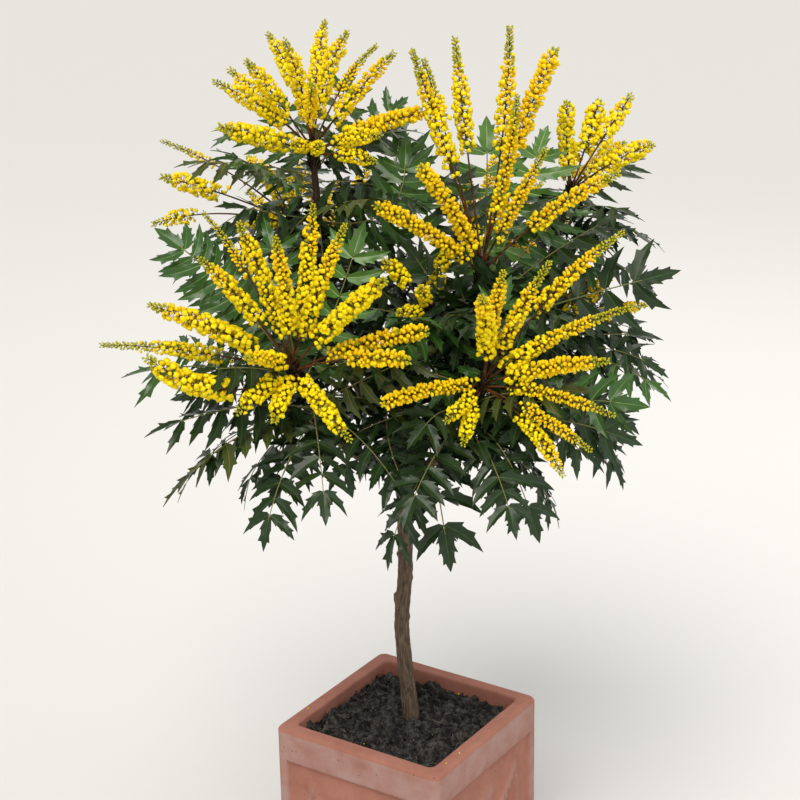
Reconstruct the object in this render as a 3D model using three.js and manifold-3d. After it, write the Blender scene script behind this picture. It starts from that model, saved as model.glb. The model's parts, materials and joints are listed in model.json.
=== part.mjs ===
// A standard mahonia in a square terracotta planter: one bare stem, a round crown of leafy shoots and,
// on each shoot, a burst of yellow flower spikes. Millimetres, +Z up. The origin is the middle of the
// planter's flat underside, and the planter's sides lie along X and Y.
import * as THREE from "three";
import { mergeVertices } from "three/addons/utils/BufferGeometryUtils.js";
import Module from "manifold-3d";

const wasm = await Module();
wasm.setup();

// Driving sizes
const GAP = 0.3; // air between two solids that touch in the real plant
const PLANTER = {
  side: 320,
  height: 310,
  corner: 14,
  rimWidth: 26,
  rimRound: 8,
  floor: 22,
  panelMargin: 25,
  panelTop: 62,
  panelFoot: 30,
  panelDepth: 6,
  panelBevel: 3,
  reliefRound: 15,
  swagHalf: 88,
  swagTop: 208,
  swagSag: 70,
  ribbonFoot: 92,
};
const COMPOST = { drop: 22, edgeDrop: 5, rootball: 60 };
const SOIL = PLANTER.height - COMPOST.drop; // height of the compost at the stem's foot
const FRONT_TURN = 33.7; // degrees from -Y towards +X of the side that the plant is seen from
const STEM = { foot: 13.5, flare: 15, waist: 12, neck: 12, head: 17, sides: 10 };
const BOUGH = { base: 8, tip: 6.2, sideShare: 0.86, sides: 6, steps: 5 };
const SHOOT = { base: 6.2, tip: 4.6, sides: 5 };
const HUB = { radius: 5.5, sides: 6 };
const SPIKE = { stalk: 2, bloom: 13, tip: 2.5, sides: 4, bow: 0.05 };
const LEAF = {
  length: 320,
  rib: 2,
  pairs: 4,
  bareShare: 0.2,
  blade: 80,
  bladeWidth: 30,
  endBlade: 68,
  thick: 2.4,
  sweep: 66,
  fold: 12,
};
// A shoot's spiral of leaves, from its lowest leaf to its highest: where on the shoot each one roots, how
// steeply it rises from there, how far it then droops, both in degrees, and its share of the full length.
const SPIRAL = { root: [0.2, 0.92], rise: [-28, 30], droop: [48, 36], size: [1, 0.82] };
const GOLDEN = 137.5; // degrees between one leaf and the next up a shoot
const SWAYS = [[0, 0], [22, 0], [-22, 0], [0, -14], [44, -8], [-44, -8], [0, 16], [66, 0], [-66, 0]];
const CLEAR = 1.2; // the least air left round a leaf or spike of another mass

// Directions and places, as seen by someone in front of the plant
const radians = THREE.MathUtils.degToRad;
const UP = new THREE.Vector3(0, 0, 1);
const RIGHT = new THREE.Vector3(Math.cos(radians(FRONT_TURN)), Math.sin(radians(FRONT_TURN)), 0);
const TOWARD = new THREE.Vector3(Math.sin(radians(FRONT_TURN)), -Math.cos(radians(FRONT_TURN)), 0);

// The point so far to the right, towards the viewer and above the ground.
function seen(right, toward, up) {
  return new THREE.Vector3()
    .addScaledVector(RIGHT, right)
    .addScaledVector(TOWARD, toward)
    .addScaledVector(UP, up);
}

// The direction that swings so far from upright, to the viewer's right, and leans so far towards them.
function pointing(swing, lean) {
  const flat = Math.cos(radians(lean));
  return seen(
    Math.sin(radians(swing)) * flat,
    Math.sin(radians(lean)),
    Math.cos(radians(swing)) * flat,
  );
}

// Each shoot: the foot and top of its leafy stem, its flower spikes as [swing, lean, length], and its
// leaves. The shown ones are the leaves that stand out of the crown, as [share up the shoot, the point
// that the leaf arches over, its tip, how far its face leans to the viewer]. The others follow a spiral.
const SHOOTS = {
  top_left: {
    foot: [-122, -58, 1105],
    top: [-131, -60, 1248],
    shown: [
      [0.8, [-226, -20, 1259], [-344, -10, 1255], 0],
      [0.5, [-1, -20, 1160], [11, -260, 1235], 0],
      [0.85, [-73, -20, 1253], [-2, -60, 1283], 20],
      [0.95, [-97, -110, 1296], [-62, -160, 1384], 20],
      [0.9, [-43, -120, 1261], [22, -180, 1324], 20],
      [0.95, [-159, -120, 1279], [-191, -180, 1341], 20],
      [0.6, [-205, 20, 1250], [-272, 60, 1297], 0],
      [0.3, [-181, 10, 1177], [-281, 40, 1207], 20],
      [0.4, [-73, 30, 1203], [-4, 90, 1211], 0],
    ],
    spiral: { count: 5, turn: 250, reach: 0.8 },
    hub: 22,
    spikes: [
      [-48, 24, 205], [-52, -38, 215], [-30, 27, 200], [-62, 40, 195], [-24, -37, 215], [-10, 24, 200],
      [7, -38, 220], [18, 17, 205], [37, -40, 220], [40, 12, 205], [67, 18, 195], [78, -34, 205],
      [58, 52, 170], [84, 52, 150], [-24, 73, 110], [4, 50, 175],
    ],
  },
  low_left: {
    foot: [-118, 112, 872],
    top: [-157, 164, 972],
    shown: [
      [0.1, [-154, 180, 897], [-210, 235, 764], 70],
      [0.05, [-97, 150, 902], [-71, 205, 758], 25],
      [0.3, [-240, 190, 955], [-393, 200, 889], 0],
      [0.15, [-248, 200, 931], [-367, 240, 786], -20],
      [0.6, [-273, 150, 1011], [-428, 130, 960], 0],
      [0.85, [-246, 120, 1107], [-380, 60, 1183], 45],
      [0.95, [-173, 110, 1072], [-207, 30, 1190], 30],
      [0.8, [-99, 90, 1032], [-49, 40, 1187], 40],
      [0.4, [-47, 160, 968], [62, 120, 999], 30],
    ],
    spiral: { count: 5, turn: 200, reach: 0.85 },
    hub: 24,
    spikes: [
      [-18, 8, 245], [-31, 24, 225], [-66, -18, 235], [-84, -10, 300], [-74, 32, 225], [-95, 68, 180],
      [175, 78, 170], [112, 60, 185], [66, 12, 210], [80, 30, 205], [46, 20, 220], [21, 7, 240],
      [6, -30, 250], [-8, 22, 235], [-28, 60, 185], [-38, -24, 270],
    ],
  },
  top_right: {
    foot: [118, -4, 950],
    top: [128, 2, 1082],
    shown: [
      [0.95, [146, -110, 1147], [144, -210, 1286], 20],
      [0.9, [206, -110, 1162], [241, -210, 1265], 20],
      [0.6, [219, -20, 1105], [362, -10, 1172], 0],
      [0.8, [206, -60, 1110], [301, -110, 1180], 30],
      [0.35, [246, 40, 1042], [447, 20, 1083], 65],
      [0.3, [61, 60, 1052], [-1, 20, 1152], 30],
      [0.1, [299, -20, 972], [415, -60, 947], 20],
    ],
    spiral: { count: 5, turn: 140, reach: 0.9 },
    hub: 62,
    spikes: [
      [-19, 6, 300], [-7, -26, 300], [6, 9, 320], [20, 4, 310], [-6, -60, 230], [36, 24, 160],
      [-27, 26, 220], [-58, 24, 225], [53, 17, 250],
    ],
  },
  low_right: {
    foot: [88, 104, 850],
    top: [119, 146, 938],
    shown: [
      [0.15, [156, 210, 917], [210, 240, 702], 60],
      [0.05, [113, 190, 896], [122, 215, 836], 60],
      [0.4, [234, 190, 952], [372, 170, 910], 55],
      [0.2, [219, 200, 934], [362, 200, 859], 55],
      [0.7, [174, 200, 962], [287, 230, 959], 20],
      [0.9, [137, 120, 1014], [169, 80, 1100], 30],
      [0.3, [56, 220, 963], [10, 250, 881], 40],
    ],
    spiral: { count: 5, turn: 10, reach: 0.9 },
    hub: 24,
    spikes: [
      [57, 16, 265], [72, 34, 225], [48, -22, 315], [36, -44, 250], [10, 14, 200], [-14, 32, 180],
      [-82, 40, 195], [-108, 60, 155], [-150, 56, 160], [92, 38, 225], [108, 44, 220], [128, 46, 220],
    ],
  },
  far_right: {
    foot: [238, -148, 1030],
    top: [276, -176, 1146],
    shown: [],
    spiral: { count: 7, turn: 60, reach: 0.85 },
    hub: 22,
    spikes: [
      [0, 20, 160], [20, -32, 155], [38, -20, 190], [50, 26, 160], [64, -50, 180], [10, -72, 170],
    ],
  },
  far_left: {
    foot: [-140, -112, 1000],
    top: [-166, -128, 1118],
    shown: [],
    spiral: { count: 7, turn: 100, reach: 0.9 },
    hub: 22,
    spikes: [
      [-62, -14, 250], [-72, 14, 220], [-92, -6, 235], [-80, -42, 200], [-50, -58, 200], [-20, -76, 170],
    ],
  },
  middle: {
    foot: [16, 30, 870],
    top: [41, 40, 1017],
    shown: [
      [0.1, [33, 150, 922], [66, 215, 664], 70],
      [0.3, [-76, 140, 921], [30, 210, 748], 70],
      [0.85, [29, 90, 1033], [18, 190, 1068], 20],
    ],
    spiral: { count: 4, turn: 200, reach: 0.7 },
    hub: 16,
    spikes: [[-31, 16, 135], [-12, 44, 95], [-56, 60, 105], [24, -52, 120]],
  },
  back_left: {
    foot: [-92, -172, 905],
    top: [-118, -236, 1012],
    shown: [],
    spiral: { count: 8, turn: 310, reach: 0.95 },
    hub: 22,
    spikes: [
      [-20, -30, 200], [-55, -38, 215], [-92, -50, 205], [-128, -62, 190], [8, -62, 210], [64, -72, 190],
      [28, -34, 195], [150, -70, 170],
    ],
  },
  back_right: {
    foot: [96, -176, 900],
    top: [120, -244, 1004],
    shown: [],
    spiral: { count: 8, turn: 250, reach: 0.95 },
    hub: 22,
    spikes: [
      [14, -26, 190], [50, -40, 215], [92, -50, 210], [130, -60, 190], [-22, -58, 205], [-80, -72, 180],
      [68, -12, 205], [170, -72, 170],
    ],
  },
  right_side: {
    foot: [196, -46, 865],
    top: [254, -62, 950],
    shown: [
      [0.6, [328, 0, 978], [423, 20, 904], 30],
      [0.3, [296, 20, 894], [379, 30, 811], 30],
      [0.9, [318, -60, 1009], [419, -60, 930], 20],
    ],
    spiral: { count: 6, turn: 330, reach: 0.9 },
    hub: 20,
    spikes: [[62, -54, 190], [88, -40, 200], [40, -66, 170], [108, -62, 180], [10, -70, 150]],
  },
};
// Which bough or stem each bough leaves, how far along it, and how far out it bellies before it rises.
const BOUGHS = {
  top_left: { from: "stem", at: 0.95, belly: 0.62 },
  low_left: { from: "stem", at: 0.9, belly: 0.4 },
  top_right: { from: "stem", at: 0.96, belly: 0.62 },
  low_right: { from: "stem", at: 0.9, belly: 0.4 },
  back_left: { from: "stem", at: 0.93, belly: 0.4 },
  back_right: { from: "stem", at: 0.92, belly: 0.4 },
  far_left: { from: "top_left", at: 0.5, belly: 0.45 },
  far_right: { from: "top_right", at: 0.5, belly: 0.35 },
  middle: { from: "top_right", at: 0.2, belly: 0.5 },
  right_side: { from: "top_right", at: 0.32, belly: 0.3 },
};

// A closed skin over a row of rings that all have the same number of points.
function loft(rings) {
  const count = rings[0].length;
  const points = rings.flat();
  const faces = [];
  for (let r = 0; r + 1 < rings.length; r += 1) {
    for (let i = 0; i < count; i += 1) {
      const a = r * count + i;
      const b = r * count + ((i + 1) % count);
      faces.push(a, b, b + count, a, b + count, a + count);
    }
  }
  const last = (rings.length - 1) * count;
  for (let i = 1; i + 1 < count; i += 1) {
    faces.push(0, i + 1, i, last, last + i, last + i + 1);
  }
  return new THREE.BufferGeometry().setFromPoints(points).setIndex(faces);
}

// A three.js geometry as a manifold-3d solid.
function solid(geometry) {
  const bare = geometry.clone();
  bare.deleteAttribute("normal");
  bare.deleteAttribute("uv");
  const merged = mergeVertices(bare, 1e-4);
  return new wasm.Manifold(
    new wasm.Mesh({
      numProp: 3,
      vertProperties: merged.attributes.position.array,
      triVerts: new Uint32Array(merged.index.array),
    }),
  );
}

// One closed body from several: loose scraps and sealed hollows fall away.
function fuse(pieces) {
  const parts = wasm.Manifold.union(pieces).decompose();
  return parts.reduce((most, part) => (part.volume() > most.volume() ? part : most));
}

// A named mesh from a solid.
function meshOf(name, body, material) {
  const made = body.getMesh();
  const geometry = new THREE.BufferGeometry();
  geometry.setAttribute("position", new THREE.BufferAttribute(made.vertProperties, made.numProp));
  geometry.setIndex(new THREE.BufferAttribute(made.triVerts, 1));
  const mesh = new THREE.Mesh(geometry, material);
  mesh.name = name;
  return mesh;
}

// Two directions square to a third, the first of them square to the guide as well.
function acrossOf(along, guide = UP) {
  const level = new THREE.Vector3().crossVectors(along, guide).normalize();
  return [level, new THREE.Vector3().crossVectors(level, along).normalize()];
}

// A tapering round limb along a curve. widthAt gives its radius at each share of the way.
function limbShape(curve, widthAt, sides, stops) {
  const chord = curve.getPoint(1).sub(curve.getPoint(0)).normalize();
  const guide = Math.abs(chord.z) > 0.7 ? TOWARD : UP;
  const rings = stops.map((share) => {
    const middle = curve.getPoint(share);
    const [level, rise] = acrossOf(curve.getTangent(share), guide);
    return Array.from({ length: sides }, (_, i) => {
      const turn = (-2 * Math.PI * i) / sides;
      return middle
        .clone()
        .addScaledVector(level, Math.cos(turn) * widthAt(share))
        .addScaledVector(rise, Math.sin(turn) * widthAt(share));
    });
  });
  return loft(rings);
}

const limb = (...made) => solid(limbShape(...made));
const evenly = (steps) => Array.from({ length: steps + 1 }, (_, i) => i / steps);
const between = (from, to) => (share) => THREE.MathUtils.lerp(from, to, share);

// A square ring with rounded corners.
function roundedSquare(half, corner, height) {
  const perCorner = 3;
  const ring = [];
  for (let side = 0; side < 4; side += 1) {
    for (let i = 0; i <= perCorner; i += 1) {
      const middle = (side + 0.5) * (Math.PI / 2);
      const turn = (side + i / perCorner) * (Math.PI / 2);
      const out = (half - corner) * Math.SQRT2;
      ring.push(
        new THREE.Vector3(
          Math.cos(middle) * out + Math.cos(turn) * corner,
          Math.sin(middle) * out + Math.sin(turn) * corner,
          height,
        ),
      );
    }
  }
  return ring;
}

// The planter's wall as seen in section: outside up, over the rim and down the inside.
function planterShell() {
  const { side, height, corner, rimWidth, rimRound, floor } = PLANTER;
  const half = side / 2;
  const rings = [roundedSquare(half - 3, corner, 0), roundedSquare(half, corner, 4)];
  for (const turn of [0, 30, 60, 90]) {
    const inward = rimRound * (1 - Math.cos(radians(turn)));
    const rise = rimRound * Math.sin(radians(turn));
    rings.push(roundedSquare(half - inward, corner - inward * 0.5, height - rimRound + rise));
  }
  const inner = half - rimWidth;
  const lip = rimRound / 2;
  for (const turn of [90, 45, 0]) {
    const outward = lip * (1 - Math.cos(radians(turn)));
    const rise = lip * Math.sin(radians(turn));
    rings.push(roundedSquare(inner + outward, corner * 0.8, height - lip + rise));
  }
  rings.push(roundedSquare(inner, corner * 0.8, floor));
  return solid(loft(rings));
}

// The cutter for a recessed panel, drawn on the wall at -Y, with sloping edges.
function panelCutter() {
  const { side, height, panelMargin, panelTop, panelFoot, panelDepth, panelBevel } = PLANTER;
  const wide = side / 2 - panelMargin;
  const frame = (grow, y) => [
    new THREE.Vector3(-wide - grow, y, panelFoot - grow),
    new THREE.Vector3(wide + grow, y, panelFoot - grow),
    new THREE.Vector3(wide + grow, y, height - panelTop + grow),
    new THREE.Vector3(-wide - grow, y, height - panelTop + grow),
  ];
  const face = -side / 2;
  const over = 4;
  const flare = (panelBevel * (panelDepth + over)) / panelDepth;
  return loft([frame(flare, face - over), frame(0, face + panelDepth)].reverse());
}

// One raised piece of the moulded design: drawn on the panel's floor, x across and z up, then flattened
// so that it stands a little lower than the panel is deep.
function moulded(geometry, x = 0, z = 0) {
  const { side, panelDepth, reliefRound } = PLANTER;
  geometry.scale(1, (panelDepth * 0.85) / reliefRound, 1);
  geometry.translate(x, -side / 2 + panelDepth, z);
  return geometry;
}

// A rosette with its face to the front.
function rosette(x, z, radius) {
  return moulded(new THREE.CylinderGeometry(radius, radius * 0.6, 2 * PLANTER.reliefRound, 8), x, z);
}

// The generic moulded design of one panel: a garland hung in a swag from two rosettes, with ribbons.
function mouldedSwag() {
  const { reliefRound: fat, swagHalf, swagTop, swagSag, ribbonFoot } = PLANTER;
  const onFloor = ([x, z]) => new THREE.Vector3(x, 0, z);
  const along = (...points) => new THREE.QuadraticBezierCurve3(...points.map(onFloor));
  const garland = along([-swagHalf, swagTop], [0, swagTop - 2 * swagSag], [swagHalf, swagTop]);
  const swell = (share) => fat * (0.45 + 0.55 * Math.sin(Math.PI * share));
  const pieces = [moulded(limbShape(garland, swell, 5, evenly(6)))];
  for (const hand of [-1, 1]) {
    const ribbon = along(
      [hand * swagHalf, swagTop],
      [hand * (swagHalf + 26), (swagTop + ribbonFoot) / 2],
      [hand * (swagHalf + 4), ribbonFoot],
    );
    pieces.push(moulded(limbShape(ribbon, between(fat * 0.4, fat * 0.6), 4, evenly(2))));
    pieces.push(rosette(hand * swagHalf, swagTop, 15));
  }
  pieces.push(rosette(0, swagTop - 12, 24));
  return pieces;
}

// The four walls' panels are alike, each a quarter turn from the last.
function onWalls(geometries) {
  const turns = [0, 1, 2, 3].map((wall) => (wall * Math.PI) / 2);
  return turns.flatMap((turn) => geometries.map((geometry) => solid(geometry.clone().rotateZ(turn))));
}

function planter() {
  const hollows = wasm.Manifold.union(onWalls([panelCutter()]));
  return fuse([planterShell().subtract(hollows), ...onWalls(mouldedSwag())]);
}

function compost() {
  const { side, corner, rimWidth, floor } = PLANTER;
  const half = side / 2 - rimWidth - GAP;
  return solid(
    loft([
      roundedSquare(half, corner * 0.8, floor + GAP),
      roundedSquare(half, corner * 0.8, SOIL - COMPOST.edgeDrop),
      roundedSquare(half * 0.8, corner, SOIL),
      roundedSquare(COMPOST.rootball, COMPOST.rootball * 0.6, SOIL),
    ]),
  );
}

// The bare stem's middle line, from below its flat foot to the head where the boughs leave.
const stemCurve = new THREE.CatmullRomCurve3([
  seen(7, -20, SOIL - 8),
  seen(-3, -20, 390),
  seen(-7, -20, 470),
  seen(0, -20, 560),
  seen(1, -20, 670),
  seen(2, -20, 800),
]);

function stemWidth(share) {
  const { foot, flare, waist, neck, head } = STEM;
  const stops = [0, 0.05, 0.12, 0.6, 0.86, 0.95, 1];
  const widths = [flare, foot + 0.4, waist + 0.6, waist, neck, head, head * 0.7];
  const next = Math.max(1, stops.findIndex((stop) => stop >= share));
  const along = (share - stops[next - 1]) / (stops[next] - stops[next - 1]);
  return THREE.MathUtils.lerp(widths[next - 1], widths[next], along);
}

// The stem, cut flat where it stands on the compost.
function stem(grow = 0) {
  const stops = [0, 0.05, 0.12, 0.24, 0.36, 0.48, 0.6, 0.74, 0.86, 0.92, 0.96, 1];
  const ground = new THREE.BoxGeometry(PLANTER.side, PLANTER.side, SOIL);
  ground.translate(0, 0, SOIL / 2 + GAP);
  return limb(stemCurve, (share) => stemWidth(share) + grow, STEM.sides, stops).subtract(solid(ground));
}

// A bough leaves its parent outwards and ends in line with the shoot that it carries.
function boughCurve(name) {
  const { from, at, belly } = BOUGHS[name];
  const parent = from === "stem" ? stemCurve : boughCurve(from);
  const start = parent.getPoint(at);
  const foot = seen(...SHOOTS[name].foot);
  const lift = seen(...SHOOTS[name].top).sub(foot).normalize();
  const middle = foot.clone().addScaledVector(lift, -foot.distanceTo(start) * belly);
  return new THREE.QuadraticBezierCurve3(start, middle, foot);
}

function bough(name, grow = 0) {
  const size = BOUGHS[name].from === "stem" ? 1 : BOUGH.sideShare;
  const width = between(BOUGH.base * size + grow, BOUGH.tip * size + grow);
  return limb(boughCurve(name), width, BOUGH.sides, evenly(BOUGH.steps));
}

// The leafy stem of a shoot, a hair above its bough's end.
function shootCurve(name) {
  const foot = seen(...SHOOTS[name].foot);
  const top = seen(...SHOOTS[name].top);
  const lift = top.clone().sub(foot).normalize();
  return new THREE.LineCurve3(foot.addScaledVector(lift, GAP), top);
}

function shootStem(name) {
  return limb(shootCurve(name), between(SHOOT.base, SHOOT.tip), SHOOT.sides, evenly(1));
}

// One flower spike: a bare stalk, then a fat run of blossom that tapers to the buds at its tip.
function spike(base, swing, lean, length) {
  const way = pointing(swing, lean);
  const tip = base.clone().addScaledVector(way, length);
  const middle = base.clone().addScaledVector(way, length * 0.5);
  middle.addScaledVector(UP, length * SPIKE.bow * 2);
  const curve = new THREE.QuadraticBezierCurve3(base, middle, tip);
  const { stalk, bloom, tip: bud } = SPIKE;
  const stops = [0, 0.13, 0.25, 0.74, 1];
  const widths = [stalk, stalk, 0.95 * bloom, 0.9 * bloom, bud];
  return limb(curve, (share) => widths[stops.indexOf(share)], SPIKE.sides, stops);
}

// The hub that a shoot's spikes spring from: upright ones from its top, spreading ones from its foot.
function hubCurve(name) {
  const foot = seen(...SHOOTS[name].foot);
  const top = seen(...SHOOTS[name].top);
  const lift = top.clone().sub(foot).normalize();
  const start = top.clone().addScaledVector(lift, GAP);
  return new THREE.LineCurve3(start, start.clone().addScaledVector(lift, SHOOTS[name].hub));
}

// A thin plate from triangles that share their points: its face, its underside and a wall along each
// free edge.
function plate(face, underside, triangles) {
  const count = face.length;
  const faces = [];
  const free = new Map();
  for (const [a, b, c] of triangles) {
    faces.push(a, b, c, count + a, count + c, count + b);
    for (const [from, to] of [[a, b], [b, c], [c, a]]) {
      if (!free.delete(`${to},${from}`)) free.set(`${from},${to}`, [from, to]);
    }
  }
  for (const [from, to] of free.values()) faces.push(from, count + from, count + to, from, count + to, to);
  return new THREE.BufferGeometry().setFromPoints([...face, ...underside]).setIndex(faces);
}

// A compound leaf laid flat, its rib along +Y: its points, the triangles of its core, which is the rib
// and the end blade, and one triangle for each side blade. The outline is cut in to the rib.
function flatLeaf(length) {
  const { pairs, bareShare, blade, bladeWidth, endBlade, rib, sweep } = LEAF;
  const ribEnd = length - endBlade;
  const stations = [0, ...evenly(pairs).map(between(length * bareShare, ribEnd))];
  const points = stations.flatMap((y) => [new THREE.Vector2(-rib, y), new THREE.Vector2(rib, y)]);
  const core = [];
  const blades = [];
  for (let i = 0; i <= pairs; i += 1) {
    const [left, right, nextLeft, nextRight] = [2 * i, 2 * i + 1, 2 * i + 2, 2 * i + 3];
    core.push([left, right, nextRight], [left, nextRight, nextLeft]);
    if (i === 0) continue;
    const reach = blade * (0.8 + 0.2 * Math.sin((Math.PI * i) / pairs));
    const out = rib + reach * Math.sin(radians(sweep));
    const up = (stations[i] + stations[i + 1]) / 2 + reach * Math.cos(radians(sweep));
    const tip = points.push(new THREE.Vector2(out, up), new THREE.Vector2(-out, up)) - 2;
    blades.push([right, tip, nextRight], [left, nextLeft, tip + 1]);
  }
  const [left, right] = [2 * pairs + 2, 2 * pairs + 3];
  const shoulder = ribEnd + endBlade * 0.4;
  const end = points.push(
    new THREE.Vector2(bladeWidth / 2, shoulder),
    new THREE.Vector2(0, length),
    new THREE.Vector2(-bladeWidth / 2, shoulder),
  ) - 3;
  core.push([left, right, end], [left, end, end + 2], [end + 2, end, end + 1]);
  return { points, core, blades };
}

// The middle line of a leaf that follows the spiral: it arches out from the shoot and droops. sway
// turns it aside and lifts or lowers it, in degrees, where its own place is taken.
function spiralRib(name, index, [aside, lift]) {
  const { count, turn, reach } = SHOOTS[name].spiral;
  const at = ([low, high]) => THREE.MathUtils.lerp(low, high, index / (count - 1));
  const compass = radians(turn + GOLDEN * index + aside);
  const outward = seen(Math.cos(compass), Math.sin(compass), 0);
  const length = LEAF.length * reach * at(SPIRAL.size);
  const rise = radians(at(SPIRAL.rise) + lift);
  const sink = rise - radians(at(SPIRAL.droop));
  const step = (angle) =>
    outward.clone().multiplyScalar(Math.cos(angle)).addScaledVector(UP, Math.sin(angle));
  const root = shootCurve(name).getPoint(at(SPIRAL.root));
  const middle = root.clone().addScaledVector(step(rise), length * 0.5);
  const end = middle.clone().addScaledVector(step(sink), length * 0.5);
  return { curve: new THREE.QuadraticBezierCurve3(root, middle, end), guide: UP };
}

// The shown leaves of a shoot, each with the one middle line that it takes.
function shownRibs(name) {
  return SHOOTS[name].shown.map(([share, over, end, facing]) => {
    const root = shootCurve(name).getPoint(share);
    const curve = new THREE.QuadraticBezierCurve3(root, seen(...over), seen(...end));
    return [{ curve, guide: pointing(0, facing) }];
  });
}

// The spiral leaves of a shoot, each with the middle lines that it may take, the best one first.
function spiralRibs(name) {
  return Array.from({ length: SHOOTS[name].spiral.count }, (_, index) =>
    SWAYS.map((sway) => spiralRib(name, index, sway)),
  );
}

// Part of a leaf, laid along the middle line of its rib with its blades folded down a little. The guide
// is the way that its face looks, as far as the rib lets it.
function laidLeaf({ curve, guide }, points, triangles) {
  const { thick, fold } = LEAF;
  const length = curve.getLength();
  const laid = (lift) =>
    points.map(({ x, y }) => {
      const share = y / length;
      const [side, normal] = acrossOf(curve.getTangent(share), guide);
      return curve
        .getPoint(share)
        .addScaledVector(side, x)
        .addScaledVector(normal, lift - Math.abs(x) * Math.sin(radians(fold)));
    });
  return solid(plate(laid(thick / 2), laid(-thick / 2), triangles));
}

// What is already placed, so that a new twig, spike or leaf can keep clear of it.
class Placed {
  constructor() {
    this.pieces = [];
  }

  add(owner, body) {
    this.pieces.push({ owner, body, box: body.boundingBox() });
  }

  // Whether a body of this owner meets nothing of another owner.
  clear(owner, body) {
    const { min, max } = body.boundingBox();
    return !this.pieces.some(
      (piece) =>
        piece.owner !== owner &&
        [0, 1, 2].every((i) => piece.box.min[i] < max[i] + CLEAR && piece.box.max[i] > min[i] - CLEAR) &&
        body.minGap(piece.body, CLEAR) < CLEAR,
    );
  }
}

// The flower burst of a shoot: its hub, and every spike that finds room.
function flowers(name, placed) {
  const owner = `flowers_${name}`;
  const curve = hubCurve(name);
  const pieces = [limb(curve, between(HUB.radius, HUB.radius * 0.7), HUB.sides, evenly(1))];
  for (const [swing, lean, length] of SHOOTS[name].spikes) {
    const upright = Math.max(0, pointing(swing, lean).z);
    const made = spike(curve.getPoint(0.15 + 0.7 * upright), swing, lean, length);
    if (placed.clear(owner, made)) pieces.push(made);
  }
  for (const piece of pieces) placed.add(owner, piece);
  return fuse(pieces);
}

// Grows one leaf on the first of its middle lines that is free, with the blades that find room.
function growLeaf(owner, choices, placed) {
  for (const choice of choices) {
    const { points, core, blades } = flatLeaf(choice.curve.getLength());
    if (!placed.clear(owner, laidLeaf(choice, points, core))) continue;
    const fitting = blades.filter((blade) => placed.clear("", laidLeaf(choice, points, [blade])));
    return laidLeaf(choice, points, [...core, ...fitting]);
  }
  return null;
}

// The leafy stems of all shoots with their leaves: the shown leaves first, then those of the spirals.
function growLeaves(placed) {
  const masses = new Map();
  for (const name of Object.keys(SHOOTS)) masses.set(name, [shootStem(name)]);
  for (const ribsOf of [shownRibs, spiralRibs]) {
    for (const [name, pieces] of masses) {
      for (const choices of ribsOf(name)) {
        const made = growLeaf(`leaves_${name}`, choices, placed);
        if (!made) continue;
        pieces.push(made);
        placed.add(`leaves_${name}`, made);
      }
    }
  }
  return masses;
}

// Materials, with the plant's own colours
function finish(colour, roughness) {
  return new THREE.MeshStandardMaterial({ color: colour, roughness, metalness: 0 });
}

const finishes = {
  terracotta: finish(0xc57a5f, 0.85),
  compost: finish(0x2b2826, 0.95),
  bark: finish(0x6a5445, 0.9),
  foliage: finish(0x24472f, 0.45),
  blossom: finish(0xf2c30c, 0.6),
};

function assemble() {
  const plant = new THREE.Group();
  const placed = new Placed();
  const show = (name, body, material) => {
    placed.add(name, body);
    plant.add(meshOf(name, body, material));
  };
  show("planter", planter(), finishes.terracotta);
  show("compost", compost(), finishes.compost);
  show("stem", stem(), finishes.bark);
  for (const [name, { from }] of Object.entries(BOUGHS)) {
    const parent = from === "stem" ? stem(GAP) : bough(from, GAP);
    const made = bough(name).subtract(parent);
    show(`bough_${name}`, fuse([made]), finishes.bark);
  }
  for (const name of Object.keys(SHOOTS)) {
    placed.add(`leaves_${name}`, shootStem(name));
  }
  for (const name of Object.keys(SHOOTS)) {
    plant.add(meshOf(`flowers_${name}`, flowers(name, placed), finishes.blossom));
  }
  for (const [name, pieces] of growLeaves(placed)) {
    plant.add(meshOf(`leaves_${name}`, fuse(pieces), finishes.foliage));
  }
  return plant;
}

export default assemble();
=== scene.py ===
"""The finished look of a standard mahonia in a square terracotta planter.

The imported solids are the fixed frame, and each of them is replaced here by a finer piece that follows the
same rule from the same named sizes. Lengths are millimetres until a mesh is made, and then metres. +Z is
up, the origin is the middle of the planter's underside, and the planter's sides lie along X and Y.
"""

from __future__ import annotations

import json
import logging
import math
from collections.abc import Sequence
from dataclasses import dataclass, field
from enum import Enum
from typing import Any

import bpy
import numpy as np
from bpy.types import Material, Node, NodeSocket, NodeTree, Object
from mathutils import Matrix, Vector, noise

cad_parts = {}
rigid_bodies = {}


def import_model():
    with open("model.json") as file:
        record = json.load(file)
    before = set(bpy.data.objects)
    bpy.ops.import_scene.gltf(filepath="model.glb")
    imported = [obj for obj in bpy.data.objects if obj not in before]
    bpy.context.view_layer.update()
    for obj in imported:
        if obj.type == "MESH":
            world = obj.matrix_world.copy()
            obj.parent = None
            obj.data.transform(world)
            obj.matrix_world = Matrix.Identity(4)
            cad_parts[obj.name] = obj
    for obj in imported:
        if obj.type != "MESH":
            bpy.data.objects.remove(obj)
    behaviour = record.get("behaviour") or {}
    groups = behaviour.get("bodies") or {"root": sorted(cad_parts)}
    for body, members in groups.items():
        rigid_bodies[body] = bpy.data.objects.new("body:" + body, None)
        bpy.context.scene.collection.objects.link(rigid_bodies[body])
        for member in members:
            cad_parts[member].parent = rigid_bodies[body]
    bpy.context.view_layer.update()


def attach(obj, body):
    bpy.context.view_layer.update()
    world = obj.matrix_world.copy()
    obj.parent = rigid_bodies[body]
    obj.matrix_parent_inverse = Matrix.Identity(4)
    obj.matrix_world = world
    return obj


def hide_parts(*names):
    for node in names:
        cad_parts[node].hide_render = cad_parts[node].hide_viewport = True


log = logging.getLogger("mahonia")

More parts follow.
